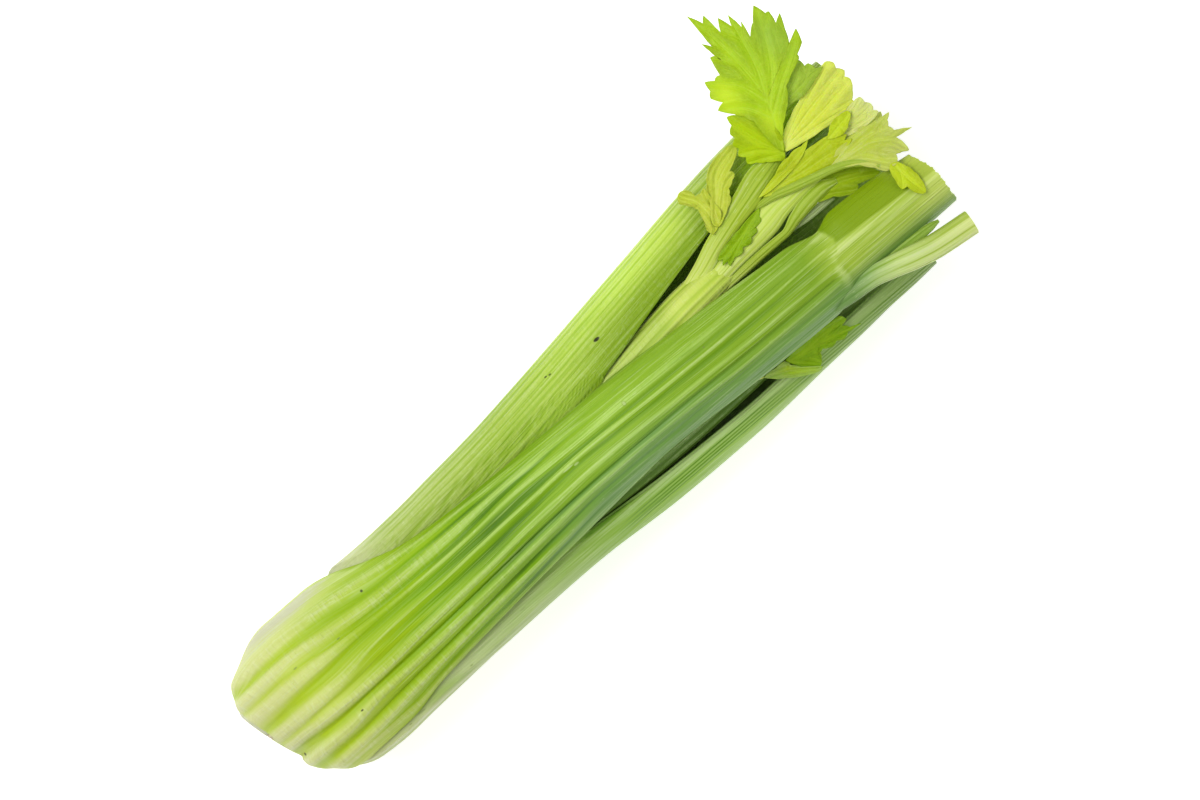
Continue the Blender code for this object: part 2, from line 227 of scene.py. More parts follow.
def with_values(piece, values, smooth_angle, ends=True):
    """Stores values for each point of a new grid, then closes its seams and ends and shades it."""
    for name, rows in values.items():
        store = piece.data.attributes.new(name, "FLOAT", "POINT")
        store.data.foreach_set("value", np.array(rows, np.float32).reshape(-1))
    bpy.ops.object.mode_set(mode="EDIT")
    bpy.ops.mesh.select_all(action="SELECT")
    bpy.ops.mesh.remove_doubles(threshold=0.0000005)
    if ends:
        bpy.ops.mesh.select_all(action="DESELECT")
        bpy.ops.mesh.select_mode(type="EDGE")
        bpy.ops.mesh.select_non_manifold()
        bpy.ops.mesh.fill()
        bpy.ops.mesh.select_all(action="SELECT")
    bpy.ops.mesh.normals_make_consistent(inside=False)
    bpy.ops.mesh.select_mode(type="VERT")
    bpy.ops.object.mode_set(mode="OBJECT")
    bpy.ops.object.shade_smooth_by_angle(angle=math.radians(smooth_angle))
    return piece


class Value:
    """A shader socket whose operators add Math nodes."""

    def __init__(self, finish, socket):
        self.finish, self.socket = finish, socket

    def maths(self, operation, *others):
        return self.finish.node("Math", {"operation": operation}, dict(enumerate([self, *others])))

    def __add__(self, other):
        return self.maths("ADD", other)

    def __radd__(self, other):
        return self.maths("ADD", other)

    def __sub__(self, other):
        return self.maths("SUBTRACT", other)

    def __rsub__(self, other):
        return self.maths("MULTIPLY", -1).maths("ADD", other)

    def __mul__(self, other):
        return self.maths("MULTIPLY", other)

    def __rmul__(self, other):
        return self.maths("MULTIPLY", other)


class Finish:
    """A material under construction."""

    def __init__(self, name):
        self.material = bpy.data.materials.new(name)
        self.material.use_nodes = True
        self.tree = self.material.node_tree
        self.shader = self.tree.nodes["Principled BSDF"]

    def node(self, kind, settings=None, sockets=None, output=0):
        made = self.tree.nodes.new("ShaderNode" + kind)
        for name, setting in (settings or {}).items():
            if name == "stops":
                ramp = made.color_ramp.elements
                while len(ramp) < len(setting):
                    ramp.new(0.5)
                for stop, (place, colour) in zip(ramp, setting):
                    stop.position, stop.color = place, (*colour, 1)
            else:
                setattr(made, name, setting)
        for name, value in (sockets or {}).items():
            if isinstance(value, Value):
                self.tree.links.new(value.socket, made.inputs[name])
            else:
                made.inputs[name].default_value = value
        return Value(self, made.outputs[output])

    def stored(self, name):
        return self.node("Attribute", {"attribute_name": name}, output=2)

    def mix(self, share, first, second, blend="MIX"):
        colours = [(*c, 1) if isinstance(c, tuple) else c for c in (first, second)]
        return self.node("Mix", {"data_type": "RGBA", "blend_type": blend},
                         {0: share, 6: colours[0], 7: colours[1]}, output=2)

    def band(self, value, low, high):
        """0 below low and 1 above high, eased between."""
        return self.node("MapRange", {"interpolation_type": "SMOOTHSTEP"},
                         {"Value": value, "From Min": low, "From Max": high, "To Min": 0.0, "To Max": 1.0})

    def noise(self, x, y, scale, detail, rough, w=0.0):
        """Noise over two lengths, or over the object where none are given."""
        if x is None:
            place = self.node("TexCoord", output=3)
        else:
            place = self.node("CombineXYZ", sockets={0: x, 1: y, 2: w})
        return self.node("TexNoise", {},
                         {"Vector": place, "Scale": scale, "Detail": detail, "Roughness": rough})

    def spotted(self, colour, spots, core):
        """The colour with oval spots: place, half length and half width in millimetres, colour and share."""
        place = self.node("TexCoord", output=3)
        for (s, p), (long, wide), hue, share in spots:
            away = self.node("VectorMath", {"operation": "SUBTRACT"},
                             {0: place, 1: (s / 1000 - ORIGIN[0], p / 1000 - ORIGIN[1], 0)})
            away = self.node("VectorMath", {"operation": "MULTIPLY"},
                             {0: away, 1: (1000 / long, 1000 / wide, 0)})
            far = self.node("VectorMath", {"operation": "LENGTH"}, {0: away}, output=1)
            colour = self.mix((1 - self.band(far, core, 1.0)) * share, colour, hue)
        return colour

    def set(self, **sockets):
        for name, value in sockets.items():
            socket = self.shader.inputs[name.replace("_", " ")]
            if isinstance(value, Value):
                self.tree.links.new(value.socket, socket)
            else:
                socket.default_value = value
        return self.material

    def bump(self, height, distance, strength=1.0):
        return self.node("Bump", {}, {"Height": height, "Distance": distance, "Strength": strength})


# The whitish skin on the crests of the ribs, and the length over which a stalk's colours run
BLANCHED, RAMP_LENGTH = (0.50, 0.50, 0.345), 0.37


def stalk_finish(name, colours, string_pitch=0.0011, painted_shade=None, seed=0.0, spots=()):
    """Plant skin over strings. colours are (distance, rib colour, plain colour, groove colour). The setting
    for one side is painted shade, darker where the stalk turns from the light: (colour, position across where
    it starts, where it is full, its share, distance where it starts)."""
    f = Finish(name)
    along, q, pale, deep, cut = (f.stored(kind) for kind in ("along", "across", "pale", "deep", "cut"))
    x, calm = f.stored("fibre") * 0.001, f.stored("calm")
    patch = f.noise(x, along * 0.25, 60.0, 2.0, 0.5, seed)
    up = along * (1 / RAMP_LENGTH) + (patch - 0.5) * 0.08
    rib, plain, groove = (
        f.node("ValToRGB", {"stops": [(row[0] / RAMP_LENGTH, row[k]) for row in colours]}, {0: up})
        for k in (1, 2, 3))
    strings = f.noise(x, along * 0.010, 1 / string_pitch, 1.0, 0.5, seed + 3)
    fine = f.noise(x, along * 0.02, 1.9 / string_pitch, 1.0, 0.5, seed + 5)
    streak = ((strings - 0.5) * 1.4 + (fine - 0.5) * 1.2) * (1 - calm * 0.85)
    green = f.band(along, 0.03, 0.12)
    colour = f.mix(f.band(deep + streak * (0.3 + green * 0.5), 0.05, 0.85), plain, groove)
    colour = f.mix(f.band(pale + streak * (0.3 + green * 0.6), 0.10, 0.95), colour, rib)
    colour = f.mix(f.band(pale + streak, 0.95, 2.0) * 0.85, colour, BLANCHED)
    # Painted shade: one side of the stalk is darkened towards the given colour, where it turns away from the
    # light
    if painted_shade:
        hue, low, high, share, since = painted_shade
        there = f.band(q + (patch - 0.5) * 0.4, low, high) * f.band(along, since, since + 0.05)
        colour = f.mix(there * share, colour, hue)
    wrinkle = f.noise(x * 0.30, along, 620.0, 2.0, 0.5, seed + 9)
    bead = f.stored("bead")
    dashes = f.noise(x * 3.0, along * 0.35, 700.0, 2.0, 0.6, seed + 13)
    colour = f.mix(f.band(fine, 0.54, 0.74) * (0.20 - calm * 0.18) * (1 - deep * 0.8), colour,
                   (0.62, 0.76, 0.34))
    colour = f.mix(f.band(0.5 - fine, 0.03, 0.20) * (0.10 + green * 0.22) * (1 - calm * 0.8), colour,
                   (0.58, 0.74, 0.30), "MULTIPLY")
    colour = f.mix(f.band(wrinkle, 0.48, 0.72) * bead * 0.22, colour, (0.72, 0.80, 0.46))
    colour = f.mix(f.band(dashes, 0.58, 0.74) * f.band(pale, 0.2, 0.8) * 0.30, colour, (0.68, 0.80, 0.42))
    colour = f.spotted(colour, spots, 0.5)
    place = f.node("TexCoord", output=3)
    # The cut ends show pale flesh with a darker dot where each string runs
    dots = f.node("TexVoronoi", {"feature": "F1"}, {"Vector": place, "Scale": 420.0})
    cut_colour = f.mix(f.band(dots, 0.10, 0.30), (0.36, 0.46, 0.12), (0.62, 0.72, 0.34))
    end = f.band(cut, 0.90, 0.999)
    colour = f.mix(end, colour, cut_colour)
    height = strings * 0.8 + fine * 0.5 + wrinkle * (bead * 2.0 + 0.10)
    rough = 0.36 + (patch - 0.5) * 0.12 + fine * 0.10 + end * 0.15
    return f.set(Base_Color=colour, Roughness=rough, Normal=f.bump(height, 0.00055, 0.9),
                 Subsurface_Weight=0.10, Subsurface_Radius=(0.004, 0.006, 0.0015), Subsurface_Scale=0.5,
                 Specular_IOR_Level=0.16)


def finish_piece(piece, material, slot, *nodes):
    piece.data.materials.clear()
    piece.data.materials.append(material)
    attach(piece, "root")
    if nodes:
        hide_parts(*nodes)


# The front stalk's grooves, then its ribs, as (distance, place across, half width, depth or height) in
# millimetres. They are broad and low on the root bulge, and draw together and sharpen above it.
FRONT_GROOVES = (
    ((8, 20.5, 2.2, 0.8), (30, 20.7, 2.4, 1.0), (50, 19.8, 2.2, 1.0), (70, 17.4, 1.6, 1.0),
     (80, 16.4, 1.3, 0.9), (100, 15.7, 1.1, 0.7), (120, 15.7, 0.9, 0.6), (150, 15, 0.9, 0.5),
     (180, 14.5, 0.9, 0.25), (310, 13, 1, 0)),
    ((10, 11.7, 1.6, 0.35), (30, 12, 1.6, 0.4), (50, 10, 1.5, 0.5), (70, 9.3, 1.5, 0.8),
     (90, 9.2, 1.3, 1.0), (110, 8.7, 1.3, 0.9), (130, 10.2, 1.6, 0.7), (150, 11.8, 1.7, 0.6),
     (170, 12, 1.6, 0.4), (195, 11.5, 1.2, 0)),
    ((8, 0, 2.5, 1.2), (20, 1.2, 2.8, 1.5), (40, 2, 2.6, 1.2), (60, 3.8, 2.4, 1.0), (80, 3.8, 2, 1.0),
     (100, 3.3, 1.9, 0.9), (120, 3.6, 2.0, 0.8), (150, 4.9, 1.8, 0.7), (180, 5.0, 1.3, 0.5),
     (220, 4.6, 1.5, 0.5), (260, 4, 1.2, 0.4), (310, 3, 1, 0.2)),
    ((60, -4, 2, 0.1), (75, -4, 2, 0.5), (100, -4, 1.9, 0.8), (120, -3.4, 1.9, 0.8), (150, -1.2, 1.8, 0.6),
     (180, 0.4, 1.5, 0.5), (220, -0.6, 1.6, 0.5), (260, -1.5, 1.4, 0.5), (310, -2, 1, 0.2)),
    ((12, -9, 2, 0.3), (40, -8, 1.6, 0.4), (80, -8, 1.2, 0.5), (95, -7, 1, 0.3), (110, -6, 1, 0)),
    ((10, -16, 2.6, 1.2), (30, -17, 2.2, 1.3), (50, -16.6, 1.5, 1.4), (80, -15.2, 1.1, 1.6),
     (120, -12.8, 1, 1.5), (150, -10.8, 1, 1.3), (180, -9.7, 1, 1.0), (220, -9.5, 1, 0.9),
     (260, -10.3, 1, 0.8), (310, -10.5, 1, 0.4)),
    ((12, -27, 2.2, 1.1), (30, -27, 1.8, 1.2), (50, -25.5, 1.4, 1.2), (80, -23, 1.1, 1.4),
     (120, -19.7, 1, 1.2), (150, -17, 0.9, 0.9), (180, -15, 0.9, 0.5), (260, -15.5, 0.9, 0.4),
     (310, -16, 0.9, 0.3)),
    ((30, -34, 1.5, 0.6), (60, -31.5, 1.2, 0.9), (80, -28.8, 1, 1.1), (100, -26.8, 0.9, 0.9),
     (120, -25.4, 0.9, 0.7), (150, -22.3, 0.9, 0.6), (180, -19.5, 0.9, 0.4), (310, -20, 0.9, 0.3)),
)
FRONT_RIBS = (
    ((10, 24, 3, 0.4), (30, 25.3, 3, 0.6), (50, 24.8, 2.6, 0.6), (70, 22.7, 2, 0.5), (90, 20.5, 1.6, 0.4),
     (120, 18.3, 1.2, 0.35), (150, 17.6, 1.2, 0.3), (200, 16.5, 1.2, 0.15), (310, 12, 1.2, 0.1)),
    ((8, 15, 3, 0.5), (30, 17, 2.6, 0.7), (50, 14.5, 2.5, 0.6), (80, 12.2, 2.4, 0.5),
     (110, 12.4, 2.4, 0.45), (150, 14, 1.6, 0.4), (170, 14, 1.6, 0.3), (200, 13, 1.5, 0.1),
     (310, 10, 1.2, 0.1)),
    ((8, 7, 3, 0.6), (30, 7.4, 3, 0.6), (50, 7, 2.4, 0.3), (70, 6.5, 1.6, 0.1), (90, 6.3, 0.9, 0.3),
     (120, 6.9, 0.8, 0.4), (150, 8.7, 0.9, 0.4), (180, 8.3, 1.8, 0.4), (220, 8, 2, 0.4),
     (260, 7.3, 1.8, 0.3), (310, 7, 1.5, 0.2)),
    ((12, -5, 3, 0.6), (40, -4.6, 2.8, 0.35), (60, -2, 1.5, 0.15), (80, -0.6, 0.8, 0.25),
     (100, -0.3, 0.8, 0.4), (120, 0.8, 0.8, 0.5), (150, 1.8, 0.9, 0.5), (180, 3, 1, 0.5),
     (220, 1.9, 0.9, 0.4), (260, 1, 0.8, 0.35), (310, 1.8, 0.6, 0.3)),
    ((12, -12, 2.6, 0.6), (40, -13, 2.2, 0.6), (60, -12.5, 1.8, 0.5), (80, -10.8, 1.5, 0.5),
     (120, -8.3, 1.4, 0.5), (150, -6.3, 1.3, 0.5), (180, -4.9, 1.5, 0.4), (220, -5.5, 1.2, 0.3),
     (260, -6.5, 1, 0.3), (310, -7, 0.8, 0.2)),
    ((12, -21.5, 2.6, 0.9), (30, -22, 2.3, 0.9), (50, -19.6, 1.8, 0.7), (80, -18.3, 1.3, 0.6),
     (120, -15.5, 1.2, 0.5), (150, -13.2, 1.2, 0.5), (180, -11.6, 1, 0.4), (220, -11.8, 0.9, 0.4),
     (260, -12.8, 0.8, 0.4), (310, -12.8, 0.8, 0.4)),
    ((15, -31, 2, 0.7), (40, -29.5, 1.8, 0.8), (60, -27.6, 1.6, 0.7), (80, -25.6, 1.3, 0.6),
     (120, -21.8, 1.1, 0.5), (150, -19.6, 1, 0.4), (180, -17.5, 0.9, 0.3), (310, -18, 0.8, 0.2)),
    ((60, -33.5, 1.2, 0.4), (80, -30.7, 1, 0.5), (100, -29, 0.9, 0.5), (120, -27.2, 0.9, 0.4),
     (150, -24.6, 0.8, 0.4), (200, -20.8, 0.8, 0.3), (310, -22.4, 0.8, 0.3)),
)
# Where the joint runs across the stalk, and how pale its swelling is there
JOINT = (
    (-24, 310.5), (-16, 311.5), (-12, 312.2), (-8, 312), (-4, 313.2), (0, 315.6), (3, 317), (6, 316),
    (10, 314.4),
)
JOINT_TONE = (
    (-24, 0.5), (-16, 0.8), (-12, 1.0), (-9, 0.95), (-7, 0.6), (-1, 0.5), (1, 0.15), (4, 0.25), (6, 0.6),
    (10, 0.5),
)
# How far the strings' places move on at least, in millimetres for one unit of q across the skin
LEAST_STRING_RUN = 16


def line_at(rows, s):
    """Where a groove or rib lies across the stalk at a distance, its half width and its depth or height."""
    return (float(smooth([(row[0], row[k]) for row in rows], s)) for k in (1, 2, 3))


def string_places(places, q, fixed):
    """Where strings run that follow these places across, and keep their spacing down the steep sides."""
    steps = np.maximum(np.diff(places), LEAST_STRING_RUN * np.diff(q))
    run = np.concatenate([[0], np.cumsum(steps)])
    low = np.argmin(places)
    rising = slice(low, low + np.argmax(places[low:]) + 1)
    return run - np.interp(fixed, places[rising], run[rising]) + fixed


def front_relief(s, q, p):
    """The front stalk's ribs, its joint, and past it a smooth left face and a ribbed right one."""
    relief, pale, deep, bead = (np.zeros_like(q) for _ in range(4))
    for rows in FRONT_GROOVES:
        place, wide, depth = line_at(rows, s)
        shape = np.exp(-np.abs((p - place) / wide) ** 1.7)
        relief += depth * shape
        deep = np.maximum(deep, shape * min(1, depth / 0.7))
    for rows in FRONT_RIBS:
        place, wide, height = line_at(rows, s)
        shape = np.exp(-(((p - place) / wide) ** 2))
        relief -= height * shape
        pale = np.maximum(pale, shape * min(1, height / 0.45))
        bead = np.maximum(bead, shape * min(1, height / 0.5) * (wide > 0.95))
    past = s - smooth(JOINT, p)
    before = np.clip(-past / 5, 0, 1)
    relief, pale, deep, bead = relief * before, pale * before, deep * before, bead * before
    face_edge = 0.8 - 0.07 * max(0, s - 317)
    left = np.clip((p - face_edge) / 1.2, 0, 1)
    beyond = np.clip(past / 2.0, 0, 1)
    swell = np.exp(-((past / (2.0 + 0.8 * (past < 0))) ** 2))
    tone = smooth(JOINT_TONE, p)
    relief -= swell * (0.25 + 0.45 * tone)
    for inward, wide, height, light in (
        (2.4, 2.1, 0.45, 0.95), (5.9, 0.35, 0.12, 0.5), (7, 0.35, 0.12, 0.5), (8.1, 0.35, 0.10, 0.4),
        (13, 1.2, 0.20, 0.40),
    ):
        shape = np.exp(-(((p - (face_edge - inward)) / wide) ** 2)) * beyond * (1 - left)
        relief -= height * shape
        pale = np.maximum(pale, shape * light * (1 - 0.35 * np.clip((past - 8) / 14, 0, 1)))
    pale = np.maximum(pale, swell * tone * 0.95)
    pale = np.maximum(pale, 0.7 * np.exp(-(((past + 3) / 4) ** 2) - ((p - 7.6) / 2.2) ** 2))
    pale = np.maximum(pale, 0.25 * beyond * (1 - left))
    deep = np.maximum(deep, left * beyond * (1 - swell * tone) * 0.95)
    deep = np.maximum(deep, 0.8 * beyond * np.clip((-15 - p) / 1.5, 0, 1))
    # The bulge's left margin is smooth and nearly white, and the marks across the ribs fade out higher up
    margin = np.clip((p - 23.5 - max(0, 12 - s) * 0.5) / 9, 0, 1) * np.clip((105 - s) / 60, 0, 1)
    # Towards the very edge the whiteness fades: painted shade where the bulge turns away from the light
    margin *= np.clip((1 - q) / 0.12, 0.4, 1)
    bead = bead * (1 - margin) * np.clip((150 - s) / 60, 0.15, 1)
    # The strings run along the ribs
    ribs = [(next(line_at(rows, s)), next(line_at(rows, 150))) for rows in FRONT_RIBS[::-1]]
    low, high = ribs[0][0], ribs[-1][0]
    fibre = np.interp(p, *zip(*ribs)) + np.minimum(p - low, 0) + np.maximum(p - high, 0)
    fibre = string_places(fibre, q, ribs[4][1])
    relief *= 1 + 0.5 * max(0, 1 - s / 25)
    return relief, np.maximum(pale, margin * 2), deep * (1 - margin), bead, fibre, left * beyond


# How far each end stands out past a plain cut, across the front stalk in millimetres
FRONT_ROOT_EDGE = (
    (-40, 0), (-36, 3), (-33, 5), (-29, 5.5), (-25, 5.5), (-21, 5), (-17.5, 2.6), (-16.2, 1.2),
    (-15.2, -0.8), (-13, -0.4), (-8, -0.8), (0, -1.5), (10, -1.5), (14, -1.4), (18, -0.7), (22, 0),
    (26, 1.4), (31, 3.2), (38, 4),
)
FRONT_TOP_EDGE = (
    (-38, 1.6), (-34, 1.4), (-31, 0.8), (-22, 1.0), (-17, 0.6), (-12, -1.0), (-7, -2.6), (-3, -3),
)
# The colours of dark specks, of dull bruises and of pale nicks in the skin
DARK, DULL, NICK = (0.03, 0.035, 0.008), (0.16, 0.22, 0.04), (0.60, 0.75, 0.32)
front = lay_stalk(
    "front_stalk",
    ((0, 8), (0.05, 9), (0.065, 6), (0.08, -2.5), (0.10, -9), (0.15, -12), (0.20, -11.5), (0.25, -20.5),
     (0.30, -30), (0.312, -30.5), (0.325, -29), (0.345, -30.5), (TOP, -33)),
    ((0, 1), (0.012, 1), (0.022, 1.055), (0.034, 1.02), (0.05, 1), (TOP, 1)),
    ((0, 1), (0.17, 1), (0.20, 0.98), (0.235, 0.985), (0.27, 1), (0.295, 1), (0.313, 0.97),
     (0.325, 1.09), (0.345, 1.07), (TOP, 1.0)),
    1, 0, TOP, front_relief, 176, 1, FRONT_ROOT_EDGE, FRONT_TOP_EDGE)
finish_piece(front, stalk_finish("front_stalk_skin", (
    (0.0, (0.58, 0.60, 0.25), (0.52, 0.58, 0.14), (0.41, 0.53, 0.03)),
    (0.030, (0.56, 0.62, 0.19), (0.48, 0.58, 0.08), (0.37, 0.51, 0.012)),
    (0.060, (0.43, 0.55, 0.08), (0.32, 0.47, 0.006), (0.27, 0.43, 0.002)),
    (0.095, (0.38, 0.54, 0.09), (0.27, 0.45, 0.006), (0.18, 0.36, 0.002)),
    (0.130, (0.35, 0.53, 0.09), (0.19, 0.36, 0.006), (0.075, 0.19, 0.0005)),
    (0.165, (0.38, 0.57, 0.10), (0.24, 0.42, 0.014), (0.10, 0.24, 0.0005)),
    (0.200, (0.40, 0.60, 0.11), (0.25, 0.43, 0.020), (0.13, 0.28, 0.002)),
    (0.245, (0.34, 0.52, 0.08), (0.21, 0.37, 0.012), (0.13, 0.27, 0.002)),
    (0.302, (0.31, 0.47, 0.08), (0.20, 0.35, 0.015), (0.13, 0.26, 0.004)),
    (0.318, (0.54, 0.66, 0.19), (0.33, 0.47, 0.04), (0.20, 0.325, 0.002)),
    (0.350, (0.51, 0.63, 0.15), (0.38, 0.51, 0.06), (0.215, 0.33, 0.002)),
    (0.367, (0.64, 0.72, 0.20), (0.52, 0.62, 0.12), (0.43, 0.53, 0.07)),
# Painted shade: the front stalk's right side, turned from the light, is darkened towards a dark teal green
), painted_shade=((0.13, 0.27, 0.08), 0.10, -0.42, 0.75, 0.13), spots=(
    ((72, 19), (0.8, 0.8), DARK, 0.9), ((40, -19.5), (0.9, 0.5), DARK, 0.9),
    ((52, 10), (1.1, 0.45), DULL, 0.7), ((30, 12.2), (1.2, 0.5), DULL, 0.6),
    ((207.5, 7.5), (1.3, 1.7), DULL, 0.35), ((207.5, 7.5), (0.8, 1.1), NICK, 0.45),
    ((172, 1.9), (3.4, 0.5), NICK, 0.55), ((176, 1.2), (1.6, 0.6), NICK, 0.5),
    ((7.4, -18.4), (0.7, 0.9), DARK, 0.9), ((248, 3.9), (0.6, 0.6), DULL, 0.6),
)), "outer_stalk", "stalk_front")

# ---- The other outer stalks -----------------------------------------------------------------------------
# Four more broad stalks complete the outside. Each one tucks its edges under the front stalk and the ones
# before it. The two at the back carry the head where it lies.


def plain_ribs(count, depth, seed, whitish=None):
    """Relief of so many ribs, unevenly spaced as they grow, broad and soft near the root."""
    rng = np.random.default_rng(seed)
    places = np.linspace(-1, 1, count + 1)[1:-1] + rng.uniform(-0.35, 0.35, count - 1) / count
    depths = depth * rng.uniform(0.5, 1.25, count - 1)
    drift = rng.uniform(-0.25, 0.25, (count - 1, 2)) / count

    def relief(s, q, p):
        deep, depth_here = np.zeros_like(q), np.zeros_like(q)
        wide = (0.34 if s < 20 else 0.34 - 0.18 * min((s - 20) / 70, 1)) / count * 2
        for place, most, (sway, lean) in zip(places, depths, drift):
            middle = place + sway * math.sin(s / 70 + place * 9) + lean * s / (1000 * TOP)
            shape = np.exp(-np.abs((q - middle) / wide) ** 1.6)
            deep = np.maximum(deep, shape * min(1, most / depth))
            depth_here += most * shape
        pale = np.clip(1 - deep * 1.6, 0, 1) * 0.75
        bead = pale * 0.5
        if whitish:
            pale = np.maximum(pale, 2 * np.clip((whitish - s) / 45, 0, 1))
            bead *= min(1, s / whitish)
        return depth_here * min(1, 0.4 + s / 40), pale, deep, bead

    return relief


right_ribs = plain_ribs(8, 0.9, 3)


def right_relief(s, q, p):
    """The right stalk's ribs, and on the margin in the gap beside the front stalk a broad raised ridge over
    fine lines.
    The ridge is pale partly as the rib's own skin and partly as a painted highlight, and the strip between it
    and the front stalk's edge is painted shade."""
    relief, pale, deep, bead = right_ribs(s, q, p)
    in_gap = np.clip((s - 150) / 15, 0, 1) * np.clip((290 - s) / 20, 0, 1)
    seen = np.clip(q * 6 - 0.5, 0, 1) * np.clip((s - 60) / 40, 0, 1)
    # A raised ridge, pale partly as rib skin and partly as a painted highlight
    ridge = np.exp(-(((p + 28.8) / 2.0) ** 2)) * np.clip((s - 150) / 30, 0, 1) * seen
    lines = sum(np.exp(-(((p - place) / 0.35) ** 2)) for place in (-31.6, -33, -34.2, -35.4))
    lines = lines * np.clip((s - 165) / 20, 0, 1) * seen
    # Painted shade: the strip between the ridge and the front stalk's edge is given the dark groove colour
    # and loses its paleness
    shade = np.clip((p + 27.2) / 1.2, 0, 1) * in_gap * seen
    relief = relief * (1 - seen) - 0.6 * ridge + 0.25 * lines
    pale = np.maximum(pale * (1 - seen) + 0.30 * seen, ridge * 0.95) * (1 - 0.8 * lines.clip(0, 1))
    deep = deep * (1 - seen) + np.maximum(0.9 * lines.clip(0, 1), shade * 1.2)
    fibre = string_places(p + max(0, 120 - s) * 0.03, q, -28.8)
    return relief, pale * (1 - shade), deep, bead * (1 - seen), fibre, 0 * q


left_ribs = plain_ribs(23, 0.16, 4, whitish=100)


def left_relief(s, q, p):
    """The left stalk's low ribs, which run along its outer side."""
    inward = p - p.max()
    fibre = np.where((inward < -6) & (q < 0), inward, string_places(inward, q, -6))
    relief, pale, deep, bead = left_ribs(s, 0.4 + fibre / 30, p)
    return relief, pale, deep, bead, fibre, 0 * q


back_left = lay_stalk(
    "back_left_stalk", ((0, 150), (TOP, 150)), 1, 0.90, 1, 0, 0.366, plain_ribs(9, 1.1, 2))
right = lay_stalk(
    "right_stalk",
    ((0, -78), (0.06, -80), (0.13, -97), (0.16, -105), (0.20, -112), (0.24, -112), (0.28, -109),
     (TOP, -109)),
    ((0, 1), (0.015, 1), (0.030, 1.05), (0.070, 1.05), (0.13, 1.03), (0.16, 1.035), (0.20, 1.09),
     (0.24, 1.09), (0.28, 1.055), (TOP, 1.045)),
    0.88, 1, 0, 0.349, right_relief)
left = lay_stalk(
    "left_stalk", ((0, 80), (0.05, 80), (0.12, 70), (0.19, 68), (0.26, 77), (TOP, 82)),
    ((0, 1), (0.05, 1), (0.062, 1.01), (0.075, 0.995), (0.10, 1.01), (0.13, 1.03), (0.15, 1.03),
     (0.17, 1.04), (0.20, 1.055), (0.26, 1.04), (0.31, 1.04), (TOP, 1)),
    0.92, 1, 0, 0.364, left_relief)
back_right = lay_stalk(
    "back_right_stalk", ((0, -143), (0.15, -152), (TOP, -153)), 1, 0.86, 1, 0, 0.367,
    plain_ribs(8, 1.0, 5))

GREEN_SKIN = (
    (0.0, (0.70, 0.74, 0.38), (0.62, 0.68, 0.26), (0.50, 0.58, 0.12)),
    (0.040, (0.60, 0.66, 0.32), (0.50, 0.60, 0.22), (0.44, 0.54, 0.12)),
    (0.110, (0.42, 0.54, 0.21), (0.36, 0.49, 0.15), (0.28, 0.43, 0.09)),
    (0.170, (0.34, 0.52, 0.15), (0.26, 0.42, 0.09), (0.20, 0.36, 0.06)),
    (0.250, (0.30, 0.48, 0.13), (0.22, 0.38, 0.075), (0.17, 0.32, 0.05)),
    (0.345, (0.24, 0.38, 0.10), (0.18, 0.30, 0.07), (0.14, 0.25, 0.05)),
)
finish_piece(back_left, stalk_finish("back_left_stalk_skin", GREEN_SKIN, seed=11.0),
             "outer_stalk", "stalk_back_left")
finish_piece(right, stalk_finish("right_stalk_skin", (
    (0.0, (0.60, 0.62, 0.30), (0.54, 0.58, 0.22), (0.44, 0.50, 0.12)),
    (0.050, (0.54, 0.58, 0.30), (0.48, 0.54, 0.26), (0.38, 0.48, 0.14)),
    (0.110, (0.46, 0.55, 0.24), (0.40, 0.50, 0.20), (0.26, 0.42, 0.08)),
    (0.170, (0.40, 0.58, 0.17), (0.26, 0.45, 0.05), (0.12, 0.28, 0.008)),
    (0.230, (0.50, 0.69, 0.25), (0.33, 0.53, 0.10), (0.10, 0.25, 0.004)),
    (0.345, (0.30, 0.44, 0.12), (0.23, 0.35, 0.09), (0.14, 0.25, 0.03)),
), seed=17.0, spots=(
    ((67, -32.3), (1.6, 0.3), DULL, 0.6), ((57, -36.8), (3.0, 0.5), DULL, 0.45),
    ((86, -35.5), (1.0, 0.4), DULL, 0.5), ((50, -37.8), (1.0, 0.4), DULL, 0.4),
    ((118, -31.4), (2.0, 0.3), DULL, 0.3), ((228, -25.2), (1.4, 0.4), DARK, 0.8),
)), "outer_stalk", "stalk_right")
finish_piece(left, stalk_finish("left_stalk_skin", (
    (0.0, (0.66, 0.68, 0.44), (0.62, 0.66, 0.36), (0.55, 0.60, 0.26)),
    (0.055, (0.58, 0.60, 0.36), (0.48, 0.53, 0.24), (0.40, 0.49, 0.15)),
    (0.095, (0.42, 0.51, 0.15), (0.36, 0.47, 0.09), (0.30, 0.43, 0.05)),
    (0.160, (0.37, 0.51, 0.07), (0.31, 0.46, 0.04), (0.25, 0.41, 0.02)),
    (0.240, (0.54, 0.73, 0.11), (0.47, 0.67, 0.08), (0.38, 0.58, 0.045)),
    (0.270, (0.52, 0.68, 0.09), (0.45, 0.63, 0.07), (0.36, 0.54, 0.04)),
    (0.295, (0.36, 0.49, 0.07), (0.30, 0.43, 0.04), (0.25, 0.38, 0.025)),
# Painted shade: the left stalk's lower margin, where it curves down beside the heart, is darkened
), seed=23.0, painted_shade=((0.20, 0.33, 0.004), -0.35, -0.90, 0.9, 0.17), spots=(
    ((216.2, 35.5), (2.0, 1.0), DARK, 1.0), ((189.6, 37.4), (0.9, 0.5), DARK, 0.8),
    ((191.6, 37), (0.9, 0.5), DARK, 0.8),
)), "outer_stalk", "stalk_left")
finish_piece(back_right, stalk_finish("back_right_stalk_skin", GREEN_SKIN, seed=29.0),
             "outer_stalk", "stalk_back_right")

# ---- The inner stalks -----------------------------------------------------------------------------------
# Three narrower stalks grow from the root plate inside the outer five, of the same crisp flesh, and paler at
# the base where no light reached them.

